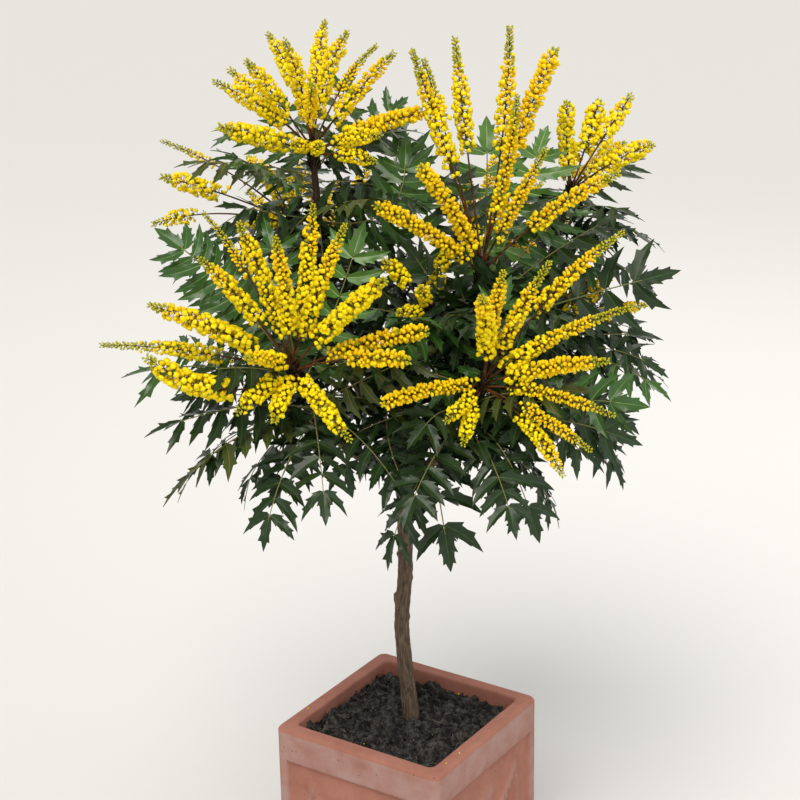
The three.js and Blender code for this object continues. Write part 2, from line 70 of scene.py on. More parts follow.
MM = 0.001
GOLDEN = math.radians(137.5)  # the turn from one leaf or flower to the next
PIECE_LIMIT = 190_000  # triangles in one joined piece
MOST_CRUMBS = 90_000.0  # on a square metre, before those that lie too close are left out
LEVEL_ENOUGH = 0.3  # the least rise of a face's normal where crumbs stay lying
UP = np.array((0.0, 0.0, 1.0))
FRONT_TURN = math.radians(33.7)  # from -Y towards +X, to the side that the plant is seen from
RIGHT = np.array((math.cos(FRONT_TURN), math.sin(FRONT_TURN), 0.0))
TOWARD = np.array((math.sin(FRONT_TURN), -math.cos(FRONT_TURN), 0.0))

Place = tuple[float, float, float]


def seen(place: Place) -> np.ndarray:
    """The point so far to the viewer's right, towards the viewer and above the ground."""
    right, toward, up = place
    return RIGHT * right + TOWARD * toward + UP * up


def pointing(swing: float, lean: float) -> np.ndarray:
    """The direction that swings from upright to the right and leans to the viewer, both in degrees."""
    turn, tilt = math.radians(swing), math.radians(lean)
    return seen((math.sin(turn) * math.cos(tilt), math.sin(tilt), math.cos(turn) * math.cos(tilt)))


def unit(vectors: np.ndarray) -> np.ndarray:
    """The same directions with a length of one."""
    return vectors / np.maximum(np.linalg.norm(vectors, axis=-1, keepdims=True), 1e-9)


def mix(ends: tuple[float, float], share: Any) -> Any:
    """The value that lies this share of the way from the first end to the second."""
    return ends[0] + (ends[1] - ends[0]) * share


def across_of(heading: np.ndarray, guide: np.ndarray) -> tuple[np.ndarray, np.ndarray]:
    """The level direction square to heading and guide, and the one that rises from it."""
    level = unit(np.cross(heading, guide))
    return level, unit(np.cross(level, heading))


def roughness_at(points: np.ndarray, grain: float, octaves: int = 3) -> np.ndarray:
    """Smooth noise, about -1 to 1, at each point, with its largest lumps as wide as the grain."""
    return np.array([noise.fractal(Vector(p), 0.9, 2.1, octaves) for p in points / grain])


@dataclass(frozen=True)
class Arch:
    """A quadratic curve between two points that bends towards a third."""

    start: np.ndarray
    over: np.ndarray
    end: np.ndarray

    def at(self, shares: Any) -> np.ndarray:
        """The points at these shares of the way."""
        t = np.atleast_1d(shares)[:, None]
        return (1 - t) ** 2 * self.start + 2 * t * (1 - t) * self.over + t**2 * self.end

    def heading(self, shares: Any) -> np.ndarray:
        """The unit directions of travel at these shares of the way."""
        t = np.atleast_1d(shares)[:, None]
        return unit((1 - t) * (self.over - self.start) + t * (self.end - self.over))

    def length(self) -> float:
        """The length along the curve."""
        points = self.at(np.linspace(0, 1, 33))
        return float(np.linalg.norm(np.diff(points, axis=0), axis=1).sum())


@dataclass
class Draft:
    """A mesh in the making.

    Points are in millimetres. A trait is an attribute of the mesh, with a number or a vector for each
    point, or a yes or no for each face.
    """

    points: np.ndarray
    faces: list[tuple[int, ...]] = field(default_factory=list)
    edges: list[tuple[int, int]] = field(default_factory=list)
    traits: dict[str, np.ndarray] = field(default_factory=dict)
    marked: dict[str, list[bool]] = field(default_factory=dict)

    def triangles(self) -> int:
        """How many triangles the faces make."""
        return sum(len(face) - 2 for face in self.faces)

    def make(self, name: str, finish: Finish | None = None) -> Object:
        """Turns the draft into an object that is in no collection yet.

        Args:
            name: The object's name.
            finish: Its material, where it has just one.

        Returns:
            The object, at the origin, in metres.
        """
        mesh = bpy.data.meshes.new(name)
        mesh.from_pydata((self.points * MM).tolist(), self.edges, self.faces, shade_flat=False)
        for trait, values in self.traits.items():
            kind, key = ("FLOAT", "value") if values.ndim == 1 else ("FLOAT_VECTOR", "vector")
            layer = mesh.attributes.new(trait, kind, "POINT")
            layer.data.foreach_set(key, values.astype(np.float32).ravel())
        for trait, flags in self.marked.items():
            mesh.attributes.new(trait, "BOOLEAN", "FACE").data.foreach_set("value", flags)
        if finish is not None:
            mesh.materials.append(finish.material())
        mesh.update()
        return bpy.data.objects.new(name, mesh)


def joined(drafts: Sequence[Draft]) -> Draft:
    """One draft from several with the same traits.

    Args:
        drafts: The drafts.

    Returns:
        The one draft.
    """
    faces, edges, start = [], [], 0
    for draft in drafts:
        faces += [tuple(i + start for i in face) for face in draft.faces]
        edges += [(a + start, b + start) for a, b in draft.edges]
        start += len(draft.points)
    traits = {key: np.concatenate([d.traits[key] for d in drafts]) for key in drafts[0].traits}
    marked = {key: sum((d.marked[key] for d in drafts), []) for key in drafts[0].marked}
    return Draft(np.concatenate([d.points for d in drafts]), faces, edges, traits, marked)


def skin(rings: np.ndarray, capped: bool = True) -> list[tuple[int, ...]]:
    """Faces over rows of rings, outwards where the rings run anticlockwise about the way they climb.

    Args:
        rings: Points as rows of rings.
        capped: Whether the first and last ring are closed.

    Returns:
        The faces, as numbers of points in the flattened rings.
    """
    rows, count = rings.shape[:2]
    faces: list[tuple[int, ...]] = []
    for row in range(rows - 1):
        for i in range(count):
            a, b = row * count + i, row * count + (i + 1) % count
            faces.append((a, b, b + count, a + count))
    if capped:
        last = (rows - 1) * count
        faces.append(tuple(range(count - 1, -1, -1)))
        faces.append(tuple(range(last, last + count)))
    return faces


def show(piece: Object, slot: str, *nodes: str) -> Object:
    """Puts a finished piece in the scene, in place of the solids that it stands for.

    Args:
        piece: The piece, at the origin.
        slot: The record's material slot; not used.
        *nodes: The names of the solids that it replaces.

    Returns:
        The same piece.
    """
    if piece.name not in bpy.context.scene.collection.objects:
        bpy.context.scene.collection.objects.link(piece)
    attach(piece, "root")
    if nodes:
        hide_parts(*nodes)
    log.info("%s: %d faces", piece.name, len(piece.data.polygons))
    return piece


# Node trees


def linear(code: str) -> tuple[float, float, float, float]:
    """The linear colour of an sRGB hex code such as #c57a5f.

    Args:
        code: The code.

    Returns:
        Red, green, blue and a full alpha.
    """
    channels = [int(code[i : i + 2], 16) / 255 for i in (1, 3, 5)]
    red, green, blue = (c / 12.92 if c <= 0.04045 else ((c + 0.055) / 1.055) ** 2.4 for c in channels)
    return red, green, blue, 1.0


def per_metre(millimetres: float) -> float:
    """The texture scale whose lumps are this many millimetres wide."""
    return 1.0 / (millimetres * MM)


def feed(tree: NodeTree, node: Node, inputs: dict[Any, Any]) -> None:
    """Sets or links the inputs of a node.

    Args:
        tree: The node tree.
        node: The node.
        inputs: For each input, by name or number, a value, an output, or a node for its first output.
    """
    for key, value in inputs.items():
        if isinstance(value, Node):
            value = value.outputs[0]
        if isinstance(value, NodeSocket):
            tree.links.new(value, node.inputs[key])
        else:
            node.inputs[key].default_value = value


def add(tree: NodeTree, kind: str, inputs: dict[Any, Any] | None = None, **settings: Any) -> Node:
    """Adds a node with its settings and links.

    Args:
        tree: The node tree.
        kind: The node's type.
        inputs: What feeds its inputs.
        **settings: The node's own settings.

    Returns:
        The node.
    """
    node = tree.nodes.new(kind)
    for key, value in settings.items():
        setattr(node, key, value)
    feed(tree, node, inputs or {})
    return node


@dataclass(frozen=True)
class Finish:
    """A material that starts from what the real surface is."""

    name: str
    roughness: float
    ior: float = 1.45

    def material(self) -> Material:
        """Makes the Blender material on first use.

        Returns:
            The material.
        """
        made = bpy.data.materials.get(self.name)
        if made is None:
            made = bpy.data.materials.new(self.name)
            made.use_nodes = True
            tree = made.node_tree
            own = {"Roughness": self.roughness, "IOR": self.ior, **self.paint(tree)}
            feed(tree, tree.nodes["Principled BSDF"], own)
        return made

    def paint(self, tree: NodeTree) -> dict[str, Any]:
        """Adds the finish's pattern, and gives what feeds the shader's inputs."""
        raise NotImplementedError


@dataclass(frozen=True)
class Terracotta(Finish):
    """Unglazed red earthenware, pressed in a mould: dead matt, orange where it is sheltered, with a
    pinkish white bloom of lime on whatever stands out, and small dark pits."""

    clay: str = "#ab6a55"
    deep: str = "#955e4c"
    bloom: str = "#a88e87"
    pit: str = "#4a3228"
    cloud: float = 55.0
    grain: float = 1.6
    speckle: float = 0.35
    pit_spacing: float = 17.0

    def paint(self, tree: NodeTree) -> dict[str, Any]:
        """Paints clay under a bloom that follows the relief, over sandy grain and pits.

        Args:
            tree: The material's node tree.

        Returns:
            The shader's colour and normal.
        """
        place = add(tree, "ShaderNodeTexCoord").outputs["Object"]
        raised = add(tree, "ShaderNodeAttribute", attribute_name="raised").outputs["Fac"]
        inputs = {"Vector": place, "Scale": per_metre(self.cloud), "Detail": 6.0, "Roughness": 0.62}
        cloud = add(tree, "ShaderNodeTexNoise", inputs)
        inputs = {"Vector": place, "Scale": per_metre(self.grain), "Detail": 3.0}
        grain = add(tree, "ShaderNodeTexNoise", inputs)
        fired = add(tree, "ShaderNodeMapRange", {"Value": cloud, "From Min": 0.3, "From Max": 0.66})
        inputs = {0: fired, 6: linear(self.deep), 7: linear(self.clay)}
        clay = add(tree, "ShaderNodeMix", inputs, data_type="RGBA").outputs[2]
        inputs = {"Value": cloud, "From Min": 0.3, "From Max": 0.7, "To Min": 0.2, "To Max": 0.9}
        patchy = add(tree, "ShaderNodeMapRange", inputs)
        share = add(tree, "ShaderNodeMath", {0: patchy, 1: raised}, operation="MULTIPLY")
        inputs = {0: grain, 1: self.speckle, 2: -0.17}
        speckled = add(tree, "ShaderNodeMath", inputs, operation="MULTIPLY_ADD")
        chalky = add(tree, "ShaderNodeMath", {0: share, 1: speckled}, operation="ADD", use_clamp=True)
        inputs = {0: chalky, 6: clay, 7: linear(self.bloom)}
        coloured = add(tree, "ShaderNodeMix", inputs, data_type="RGBA").outputs[2]
        pits = add(tree, "ShaderNodeTexVoronoi", {"Vector": place, "Scale": per_metre(self.pit_spacing)})
        hole = add(tree, "ShaderNodeMapRange", {"Value": pits, "From Min": 0.045, "From Max": 0.075})
        inputs = {0: hole, 6: linear(self.pit), 7: coloured}
        pitted = add(tree, "ShaderNodeMix", inputs, data_type="RGBA").outputs[2]
        sunk = add(tree, "ShaderNodeMath", {0: hole, 1: 2.0, 2: grain}, operation="MULTIPLY_ADD")
        bump = add(tree, "ShaderNodeBump", {"Height": sunk, "Strength": 0.5, "Distance": 0.6 * MM})
        return {"Base Color": pitted, "Normal": bump}


@dataclass(frozen=True)
class Peat(Finish):
    """Damp peat compost: nearly black, dull, and crumbly down to the grain."""

    dark: str = "#121110"
    # The lighter crumb tone is partly the peat's own colour and partly a painted highlight on the clods.
    crumb: str = "#5a5751"
    lump: float = 14.0
    grain: float = 2.2

    def paint(self, tree: NodeTree) -> dict[str, Any]:
        """Paints dark and lighter crumbs with a rough grain; the lighter tone is partly the peat's own
        colour and partly a painted highlight on the clods.

        Args:
            tree: The material's node tree.

        Returns:
            The shader's colour and normal.
        """
        place = add(tree, "ShaderNodeTexCoord").outputs["Object"]
        inputs = {"Vector": place, "Scale": per_metre(self.lump), "Detail": 8.0, "Roughness": 0.7}
        lumps = add(tree, "ShaderNodeTexNoise", inputs)
        light = add(tree, "ShaderNodeMapRange", {"Value": lumps, "From Min": 0.44, "From Max": 0.7})
        inputs = {0: light, 6: linear(self.dark), 7: linear(self.crumb)}
        colour = add(tree, "ShaderNodeMix", inputs, data_type="RGBA").outputs[2]
        inputs = {"Vector": place, "Scale": per_metre(self.grain), "Detail": 4.0}
        grain = add(tree, "ShaderNodeTexNoise", inputs)
        bump = add(tree, "ShaderNodeBump", {"Height": grain, "Strength": 0.9, "Distance": 1.2 * MM})
        return {"Base Color": colour, "Normal": bump}


@dataclass(frozen=True, kw_only=True)
class Bark(Finish):
    """Corky bark: dull grey brown ridges that run along the limb with darker furrows between them."""

    ridge: str
    furrow: str
    width: float = 3.2
    run: float = 6.0

    def paint(self, tree: NodeTree) -> dict[str, Any]:
        """Paints furrows drawn out along the limb, on the limb's own coordinates.

        Args:
            tree: The material's node tree.

        Returns:
            The shader's colour and normal.
        """
        along = add(tree, "ShaderNodeAttribute", attribute_name="grain").outputs["Vector"]
        drawn = add(tree, "ShaderNodeMapping", {"Vector": along, "Scale": (1, 1, 1 / self.run)})
        inputs = {"Vector": drawn, "Scale": per_metre(self.width), "Detail": 5.0, "Roughness": 0.65}
        ridges = add(tree, "ShaderNodeTexNoise", inputs)
        tone = add(tree, "ShaderNodeMapRange", {"Value": ridges, "From Min": 0.34, "From Max": 0.66})
        inputs = {0: tone, 6: linear(self.furrow), 7: linear(self.ridge)}
        colour = add(tree, "ShaderNodeMix", inputs, data_type="RGBA").outputs[2]
        bump = add(tree, "ShaderNodeBump", {"Height": ridges, "Strength": 0.8, "Distance": 1.0 * MM})
        return {"Base Color": colour, "Normal": bump}


@dataclass(frozen=True, kw_only=True)
class Leather(Finish):
    """A leathery evergreen leaf: a waxy skin that takes broad soft highlights over a deep colour."""

    shade: str
    light: str
    coat: float
    coat_roughness: float = 0.28
    shine: float = 0.3
    patch: float = 26.0
    vein_spacing: float = 6.0

    def paint(self, tree: NodeTree) -> dict[str, Any]:
        """Paints two close greens in soft patches under a thin wax coat, with a faint net of veins.

        Args:
            tree: The material's node tree.

        Returns:
            The shader's colour, normal, shine and coat.
        """
        place = add(tree, "ShaderNodeTexCoord").outputs["Object"]
        inputs = {"Vector": place, "Scale": per_metre(self.patch), "Detail": 3.0}
        patches = add(tree, "ShaderNodeTexNoise", inputs)
        inputs = {0: patches, 6: linear(self.shade), 7: linear(self.light)}
        colour = add(tree, "ShaderNodeMix", inputs, data_type="RGBA").outputs[2]
        net = add(tree, "ShaderNodeTexVoronoi", {"Vector": place, "Scale": per_metre(self.vein_spacing)})
        bump = add(tree, "ShaderNodeBump", {"Height": net, "Strength": 0.25, "Distance": 0.8 * MM})
        return {
            "Base Color": colour,
            "Normal": bump,
            "Specular IOR Level": self.shine,
            "Coat Weight": self.coat,
            "Coat Roughness": self.coat_roughness,
        }


@dataclass(frozen=True, kw_only=True)
class Sappy(Finish):
    """Soft plant tissue, such as petals, buds and stalks: a smooth satin skin in two close tones."""

    shade: str
    light: str
    patch: float = 7.0
    shine: float = 0.3

    def paint(self, tree: NodeTree) -> dict[str, Any]:
        """Paints two close tones in small patches.

        Args:
            tree: The material's node tree.

        Returns:
            The shader's colour and shine.
        """
        place = add(tree, "ShaderNodeTexCoord").outputs["Object"]
        inputs = {"Vector": place, "Scale": per_metre(self.patch), "Detail": 2.0}
        patches = add(tree, "ShaderNodeTexNoise", inputs)
        tone = add(tree, "ShaderNodeMapRange", {"Value": patches, "From Min": 0.36, "From Max": 0.64})
        inputs = {0: tone, 6: linear(self.shade), 7: linear(self.light)}
        colour = add(tree, "ShaderNodeMix", inputs, data_type="RGBA").outputs[2]
        return {"Base Color": colour, "Specular IOR Level": self.shine}


TERRACOTTA = Terracotta("fired_terracotta", 0.88, 1.5)
PEAT = Peat("peat_compost", 0.95)
STEM_BARK = Bark("furrowed_bark", 0.85, ridge="#75614c", furrow="#3a2d24")
SHOOT_BARK = Bark("young_bark", 0.8, ridge="#4c3a2a", furrow="#1d1611", width=2.4, run=3.0)
HUSK = Sappy("bud_scales", 0.7, shade="#120d0a", light="#33251a", patch=5.0)
RACHIS = Sappy("flower_stalk", 0.55, shade="#38200f", light="#6f4220", patch=14.0)
PEDICEL = Sappy("flower_foot", 0.55, shade="#5c5a14", light="#8c8a22", patch=9.0)
LEAF_STALK = Sappy("leaf_stalk", 0.5, shade="#66783c", light="#8a7a4a", patch=34.0)
OPEN_PETAL = Sappy("open_petals", 0.5, shade="#ffda00", light="#fff00a")
BUD_PETAL = Sappy("closed_petals", 0.48, shade="#f6c600", light="#ffe306")
GREEN_BUD = Sappy("green_buds", 0.5, shade="#8c991c", light="#dccb20", patch=5.0)
STRAW = Sappy("dry_fibre", 0.8, shade="#5d564c", light="#a19a8c", patch=12.0)


class Tint(Enum):
    """The leaf colours of the crown: the waxy blade and the leaflet's own rib, which is a little paler. The
    fresh and pale greens, given to higher leaves, are partly painted light on the top of the crown.
    """

    DEEP = (
        Leather("deep_green_leaf", 0.42, shade="#17280f", light="#253d19", coat=0.24),
        Sappy("deep_green_rib", 0.5, shade="#35502a", light="#496538"),
    )
    FRESH = (
        Leather("fresh_green_leaf", 0.36, shade="#234112", light="#3b6620", coat=0.5),
        Sappy("fresh_green_rib", 0.5, shade="#5c7f45", light="#7b9a55"),
    )
    PALE = (
        Leather("pale_green_leaf", 0.36, shade="#345d1e", light="#5f8938", coat=0.5),
        Sappy("pale_green_rib", 0.5, shade="#86a566", light="#a3b878"),
    )
    BRONZE = (
        Leather("bronze_green_leaf", 0.42, shade="#323f18", light="#525f28", coat=0.2),
        Sappy("bronze_green_rib", 0.5, shade="#7c6f3e", light="#93794a"),
    )


class Bloom(Enum):
    """The stages of a flower up a spike, each with its petals' finish."""

    OPEN = OPEN_PETAL
    BUD = BUD_PETAL
    TIP = GREEN_BUD


# The plant's growth


@dataclass(frozen=True)
class Shown:
    """A leaf that stands out of the crown: where on its shoot it roots, the point that it arches over,
    its tip, how far its face leans to the viewer in degrees, its colour, and how far apart and how large
    its leaflets are as shares of the usual."""

    share: float
    over: Place
    end: Place
    facing: float
    tint: Tint = Tint.DEEP
    apart: float = 1.0
    leaflet: float = 1.0


@dataclass(frozen=True)
class Spike:
    """A flower spike: its direction, its length, and how it is in bloom.

    open is the share of it whose flowers are open, bare the share of it that is bare stalk, and taper the
    share up it from which its flowers grow smaller. bow is how far it arches up, or sags, as a share of its
    length, and wide the size of its flowers.
    """

    swing: float
    lean: float
    length: float
    open: float = 0.5
    bare: float = 0.2
    taper: float = 0.78
    bow: float = 0.05
    wide: float = 1.0


@dataclass(frozen=True)
class Shoot:
    """A leafy shoot: its foot, its top, and what it carries.

    hub is the length of the stump that its spikes spring from. The leaves that don't stand out follow a
    spiral that starts at the turn in degrees, with the reach as the share of a full leaf's length. Above the
    share up it that front gives, no leaf of the spiral points to the viewer.
    """

    foot: Place
    top: Place
    hub: float
    turn: float
    reach: float
    leaves: int
    tints: tuple[Tint, ...]
    spikes: tuple[Spike, ...]
    shown: tuple[Shown, ...] = ()
    front: float = 1.0

    def lift(self) -> np.ndarray:
        """The direction that the shoot grows in."""
        return unit(seen(self.top) - seen(self.foot))

    def at(self, share: float) -> np.ndarray:
        """The point this share of the way up the shoot."""
        return seen(self.foot) + (seen(self.top) - seen(self.foot)) * share


DEEP, FRESH, PALE, BRONZE = Tint
SHOOTS: dict[str, Shoot] = {
    "top_left": Shoot(
        foot=(-122, -58, 1105), top=(-131, -60, 1248), hub=22, turn=250, reach=0.85, leaves=20,
        tints=(FRESH, DEEP, BRONZE, FRESH, DEEP),
        spikes=(
            Spike(-48, 24, 205, 0.85, 0.33),
            Spike(-52, -38, 215, 0.7, 0.36),
            Spike(-30, 27, 200, 0.75, 0.36),
            Spike(-62, 40, 195, 0.9, 0.24, wide=1.15),
            Spike(-24, -37, 215, 0.85, 0.42),
            Spike(-10, 24, 200, 0.75, 0.2),
            Spike(7, -38, 220, 0.8, 0.38),
            Spike(18, 17, 205, 0.75, 0.22),
            Spike(37, -40, 220, 0.2, 0.38, 0.5, wide=0.9),
            Spike(40, 12, 205, 0.5, 0.26),
            Spike(67, 18, 195, 0.35, 0.3, 0.95, wide=1.2),
            Spike(78, -34, 205, 0.3, 0.4, 0.92),
            Spike(66, 40, 150, 0.85, 0.3, wide=0.9),
            Spike(84, 44, 136, 0.95, 0.36, wide=0.9),
            Spike(-42, 62, 84, 0.95, 0.3, wide=0.85),
            Spike(4, 42, 165, 0.3, 0.32),
            Spike(30, 68, 84, 0.95, 0.3, wide=0.8),
        ),
        shown=(
            Shown(0.8, (-226, -20, 1259), (-344, -10, 1255), 0, BRONZE),
            Shown(0.5, (-1, -20, 1160), (11, -260, 1235), 40, FRESH),
            Shown(0.3, (40, 70, 1150), (5, -60, 1295), 70, FRESH, 0.66),
            Shown(0.95, (-97, -110, 1296), (-62, -160, 1384), 70, FRESH),
            Shown(0.9, (-43, -120, 1261), (22, -180, 1324), 75, FRESH),
            Shown(0.95, (-159, -120, 1279), (-191, -180, 1341), 20, FRESH),
            Shown(0.6, (-205, 20, 1250), (-272, 60, 1297), 0, FRESH),
            Shown(0.3, (-181, 10, 1177), (-281, 40, 1207), 20),
            Shown(0.6, (-78, -44, 1196), (4, -96, 1212), 20),
            Shown(0.4, (-73, 30, 1210), (-14, 90, 1216), -20, BRONZE, 0.8),
        ),
        front=0.42,
    ),
    "low_left": Shoot(
        foot=(-118, 112, 872), top=(-157, 164, 972), hub=24, turn=200, reach=0.85, leaves=19,
        tints=(DEEP, FRESH, DEEP, DEEP, BRONZE),
        spikes=(
            Spike(-16, 8, 240, 0.8, 0.2),
            Spike(-32, 19, 240, 0.7, 0.32),
            Spike(-60, 10, 236, 0.8, 0.26, 0.8, wide=1.15),
            Spike(-84, -10, 300, 0.7, 0.3, 0.5),
            Spike(-72, 29, 244, 0.85, 0.4, 0.85, -0.15, 1.3),
            Spike(-44, 55, 150, 0.4, 0.2),
            Spike(-107, 50, 132, 0.95, 0.3, wide=1.05),
            Spike(-144, 66, 116, 0.95, 0.2),
            Spike(119, 60, 188, 0.9),
            Spike(70, 12, 214, 0.05, 0.22, 0.95, wide=1.1),
            Spike(73, 32, 208, 0.15, 0.5, 0.95, wide=1.15),
            Spike(42, 20, 224, 0.85, 0.22, 0.86, wide=1.15),
            Spike(21, 7, 240, 0.6, 0.18),
            Spike(9, -30, 250, 0.7, 0.16),
            Spike(-3, 20, 235, 0.6, 0.2),
            Spike(-32, -24, 270, 0.4, 0.5, 0.5, wide=0.85),
        ),
        shown=(
            Shown(0.1, (-154, 180, 897), (-210, 235, 764), 70, leaflet=0.96),
            Shown(0.05, (-97, 150, 902), (-71, 205, 758), 25),
            Shown(0.3, (-240, 190, 955), (-393, 200, 889), 0),
            Shown(0.15, (-248, 200, 931), (-367, 240, 786), -20, BRONZE),
            Shown(0.6, (-252, 96, 1012), (-386, 76, 990), 40, FRESH, 0.6, 0.7),
            Shown(0.2, (-240, 80, 930), (-364, 60, 896), 40),
            Shown(0.6, (-273, 150, 1011), (-428, 130, 960), 0, FRESH),
            Shown(0.85, (-246, 120, 1107), (-380, 60, 1183), 52, FRESH, 0.46, 0.8),
            Shown(0.95, (-173, 110, 1072), (-207, 30, 1190), 30, FRESH),
            Shown(0.8, (-99, 90, 1032), (-49, 40, 1187), 40, PALE),
            Shown(0.4, (-47, 160, 968), (62, 120, 999), 30, BRONZE),
        ),
        front=0.42,
    ),
    "top_right": Shoot(
        foot=(118, -4, 950), top=(124, 3, 1042), hub=62, turn=140, reach=0.9, leaves=20,
        tints=(DEEP, FRESH, DEEP, DEEP),
        spikes=(
            Spike(-17, 5, 354, 0.66, 0.36, 0.7, wide=1.1),
            Spike(-15, 2, 330, 0.66, 0.62, 0.7),
            Spike(-6, -23, 355, 0.72, 0.42, 0.7, wide=1.1),
            Spike(6, 8, 377, 0.6, 0.4, 0.7, wide=1.05),
            Spike(18, 4, 352, 0.2, 0.45, 0.94, wide=1.28),
            Spike(-6, -60, 230, 0.5),
            Spike(25, 18, 228, 0.2, 0.2, 0.62),
            Spike(10, 16, 292, 0.25, 0.2, 0.62),
            Spike(-27, 26, 230, 0.05, 0.16, 0.94, wide=1.15),
            Spike(-50, 24, 228, 0.05, 0.16, 0.94, wide=1.15),
            Spike(50, 15, 272, 0.3, 0.32, wide=1.1),
        ),
        shown=(
            Shown(0.95, (146, -110, 1147), (144, -210, 1286), 20, PALE),
            Shown(0.98, (152, 66, 1050), (160, 132, 940), 30),
            Shown(0.9, (92, 62, 1040), (78, 122, 944), 30),
            Shown(0.95, (158, 44, 1050), (152, 62, 1136), 75, apart=0.8),
            Shown(0.7, (92, 50, 1024), (90, 68, 1108), 75, apart=0.8),
            Shown(0.8, (122, 56, 1026), (124, 80, 1072), 75, apart=0.6, leaflet=0.9),
            Shown(0.9, (104, -70, 1130), (84, -120, 1246), 20),
            Shown(0.75, (165, 70, 1065), (226, 140, 1000), 10, FRESH),
            Shown(0.9, (206, -110, 1162), (241, -210, 1265), 20, PALE),
            Shown(0.6, (219, -20, 1105), (362, -10, 1172), 0),
            Shown(0.8, (206, -60, 1110), (301, -110, 1180), 30, FRESH),
            Shown(0.35, (246, 40, 1042), (447, 20, 1083), 65, apart=1.15),
            Shown(0.3, (61, 60, 1052), (-1, 20, 1152), 30),
            Shown(0.1, (299, -20, 972), (415, -60, 947), 20),
            Shown(0.2, (-50, -84, 1228), (16, -110, 1268), 66, FRESH, 0.9),
        ),
    ),
    "low_right": Shoot(
        foot=(88, 104, 850), top=(119, 146, 938), hub=24, turn=10, reach=0.9, leaves=18,
        tints=(DEEP, DEEP, DEEP, FRESH),
        spikes=(
            Spike(57, 16, 265, 0.4, 0.14, 0.55),
            Spike(66, 34, 228, 0.35, 0.16, wide=1.1),
            Spike(48, -22, 315, 0.5, 0.36, 0.66),
            Spike(27, 4, 208, 0.45, 0.2, 0.6),
            Spike(8, 14, 188, 0.4, 0.3),
            Spike(-3, 32, 190, 0.7, 0.26, 0.9, wide=1.1),
            Spike(-82, 40, 195, 0.05, 0.08, 0.95),
            Spike(-108, 58, 114, 0.95, 0.26, wide=0.85),
            Spike(-148, 60, 122, 0.95, 0.34, wide=0.85),
            Spike(90, 36, 228, 0.4, 0.24, wide=0.85),
            Spike(107, 44, 218, 0.3, 0.34, 0.7, wide=0.85),
            Spike(128, 46, 204, 0.8, 0.4, 0.85, wide=0.9),
        ),
        shown=(
            Shown(0.15, (156, 210, 917), (210, 240, 690), 60, apart=1.05, leaflet=0.96),
            Shown(0.05, (113, 190, 896), (122, 215, 836), 60),
            Shown(0.4, (234, 190, 952), (372, 170, 910), 55, FRESH),
            Shown(0.2, (219, 200, 934), (362, 200, 859), 55),
            Shown(0.7, (174, 200, 962), (287, 230, 959), 20, BRONZE),
            Shown(0.9, (137, 120, 1014), (169, 80, 1100), 30, FRESH),
            Shown(0.3, (56, 220, 963), (10, 250, 881), 40),
        ),
        front=0.42,
    ),
    "far_right": Shoot(
        foot=(238, -148, 1030), top=(276, -176, 1146), hub=22, turn=60, reach=0.72, leaves=16,
        tints=(DEEP, DEEP, FRESH),
        spikes=(
            Spike(-5, 20, 162, 0.95, 0.3, 0.85, wide=1.05),
            Spike(22, -32, 160, 0.95, 0.3, 0.85, wide=1.25),
            Spike(36, -20, 185, 0.8, 0.4, 0.85, wide=1.1),
            Spike(56, 16, 158, 0.9, 0.3, 0.85, wide=1.1),
            Spike(64, -50, 180, 0.7),
            Spike(10, -72, 170, 0.9),
        ),
        shown=(
            Shown(0.9, (262, -100, 1190), (205, -50, 1150), 20),
            Shown(0.7, (330, -110, 1150), (352, -70, 1100), 30),
        ),
    ),
    "far_left": Shoot(
        foot=(-140, -112, 1000), top=(-166, -128, 1118), hub=22, turn=100, reach=0.9, leaves=18,
        tints=(FRESH, DEEP, DEEP),
        spikes=(
            Spike(-60, -14, 250, 0.4, 0.6, 0.6, wide=0.85),
            Spike(-66, 12, 225, 0.9, 0.5, 0.85, wide=1.1),
            Spike(-86, 8, 225, 0.9, 0.66),
            Spike(-110, -50, 190, 0.8),
            Spike(-50, -58, 200, 0.7),
            Spike(-20, -76, 170, 0.8),
        ),
    ),
    "middle": Shoot(
        foot=(16, 30, 870), top=(41, 40, 1017), hub=16, turn=200, reach=0.72, leaves=14,
        tints=(DEEP, FRESH, DEEP),
        spikes=(
            Spike(-36, 16, 118, 0.95, 0.4),
            Spike(-12, 44, 76, 0.95, 0.3, wide=0.9),
            Spike(-64, 50, 80, 0.9, 0.3, wide=0.8),
            Spike(24, -52, 120, 0.8),
        ),
        shown=(
            Shown(0.1, (38, 160, 915), (74, 235, 632), 66, apart=0.98, leaflet=0.94),
            Shown(0.3, (-76, 140, 921), (30, 210, 748), 70, apart=0.84),
            Shown(0.85, (29, 90, 1033), (18, 190, 1068), 20, FRESH),
        ),
    ),
    "back_left": Shoot(
        foot=(-92, -172, 905), top=(-118, -236, 1012), hub=22, turn=310, reach=0.95, leaves=18,
        tints=(DEEP, FRESH, DEEP, DEEP),
        spikes=(
            Spike(-20, -30, 200, 0.7),
            Spike(-55, -38, 215, 0.6),
            Spike(-92, -50, 205, 0.9),
            Spike(-128, -62, 190, 0.9),
            Spike(8, -62, 210, 0.8),
            Spike(64, -72, 190, 0.4),
            Spike(28, -34, 195, 0.6),
            Spike(150, -70, 170, 0.9),
        ),
    ),
    "back_right": Shoot(
        foot=(96, -176, 900), top=(120, -244, 1004), hub=22, turn=250, reach=0.95, leaves=18,
        tints=(DEEP, DEEP, FRESH),
        spikes=(
            Spike(14, -26, 190, 0.5),
            Spike(50, -40, 215, 0.3),
            Spike(92, -50, 210, 0.4),
            Spike(130, -60, 190, 0.9),
            Spike(-22, -58, 205, 0.7),
            Spike(-80, -72, 180, 0.8),
            Spike(68, -12, 205, 0.2),
            Spike(170, -72, 170, 0.9),
        ),
    ),
    "right_side": Shoot(
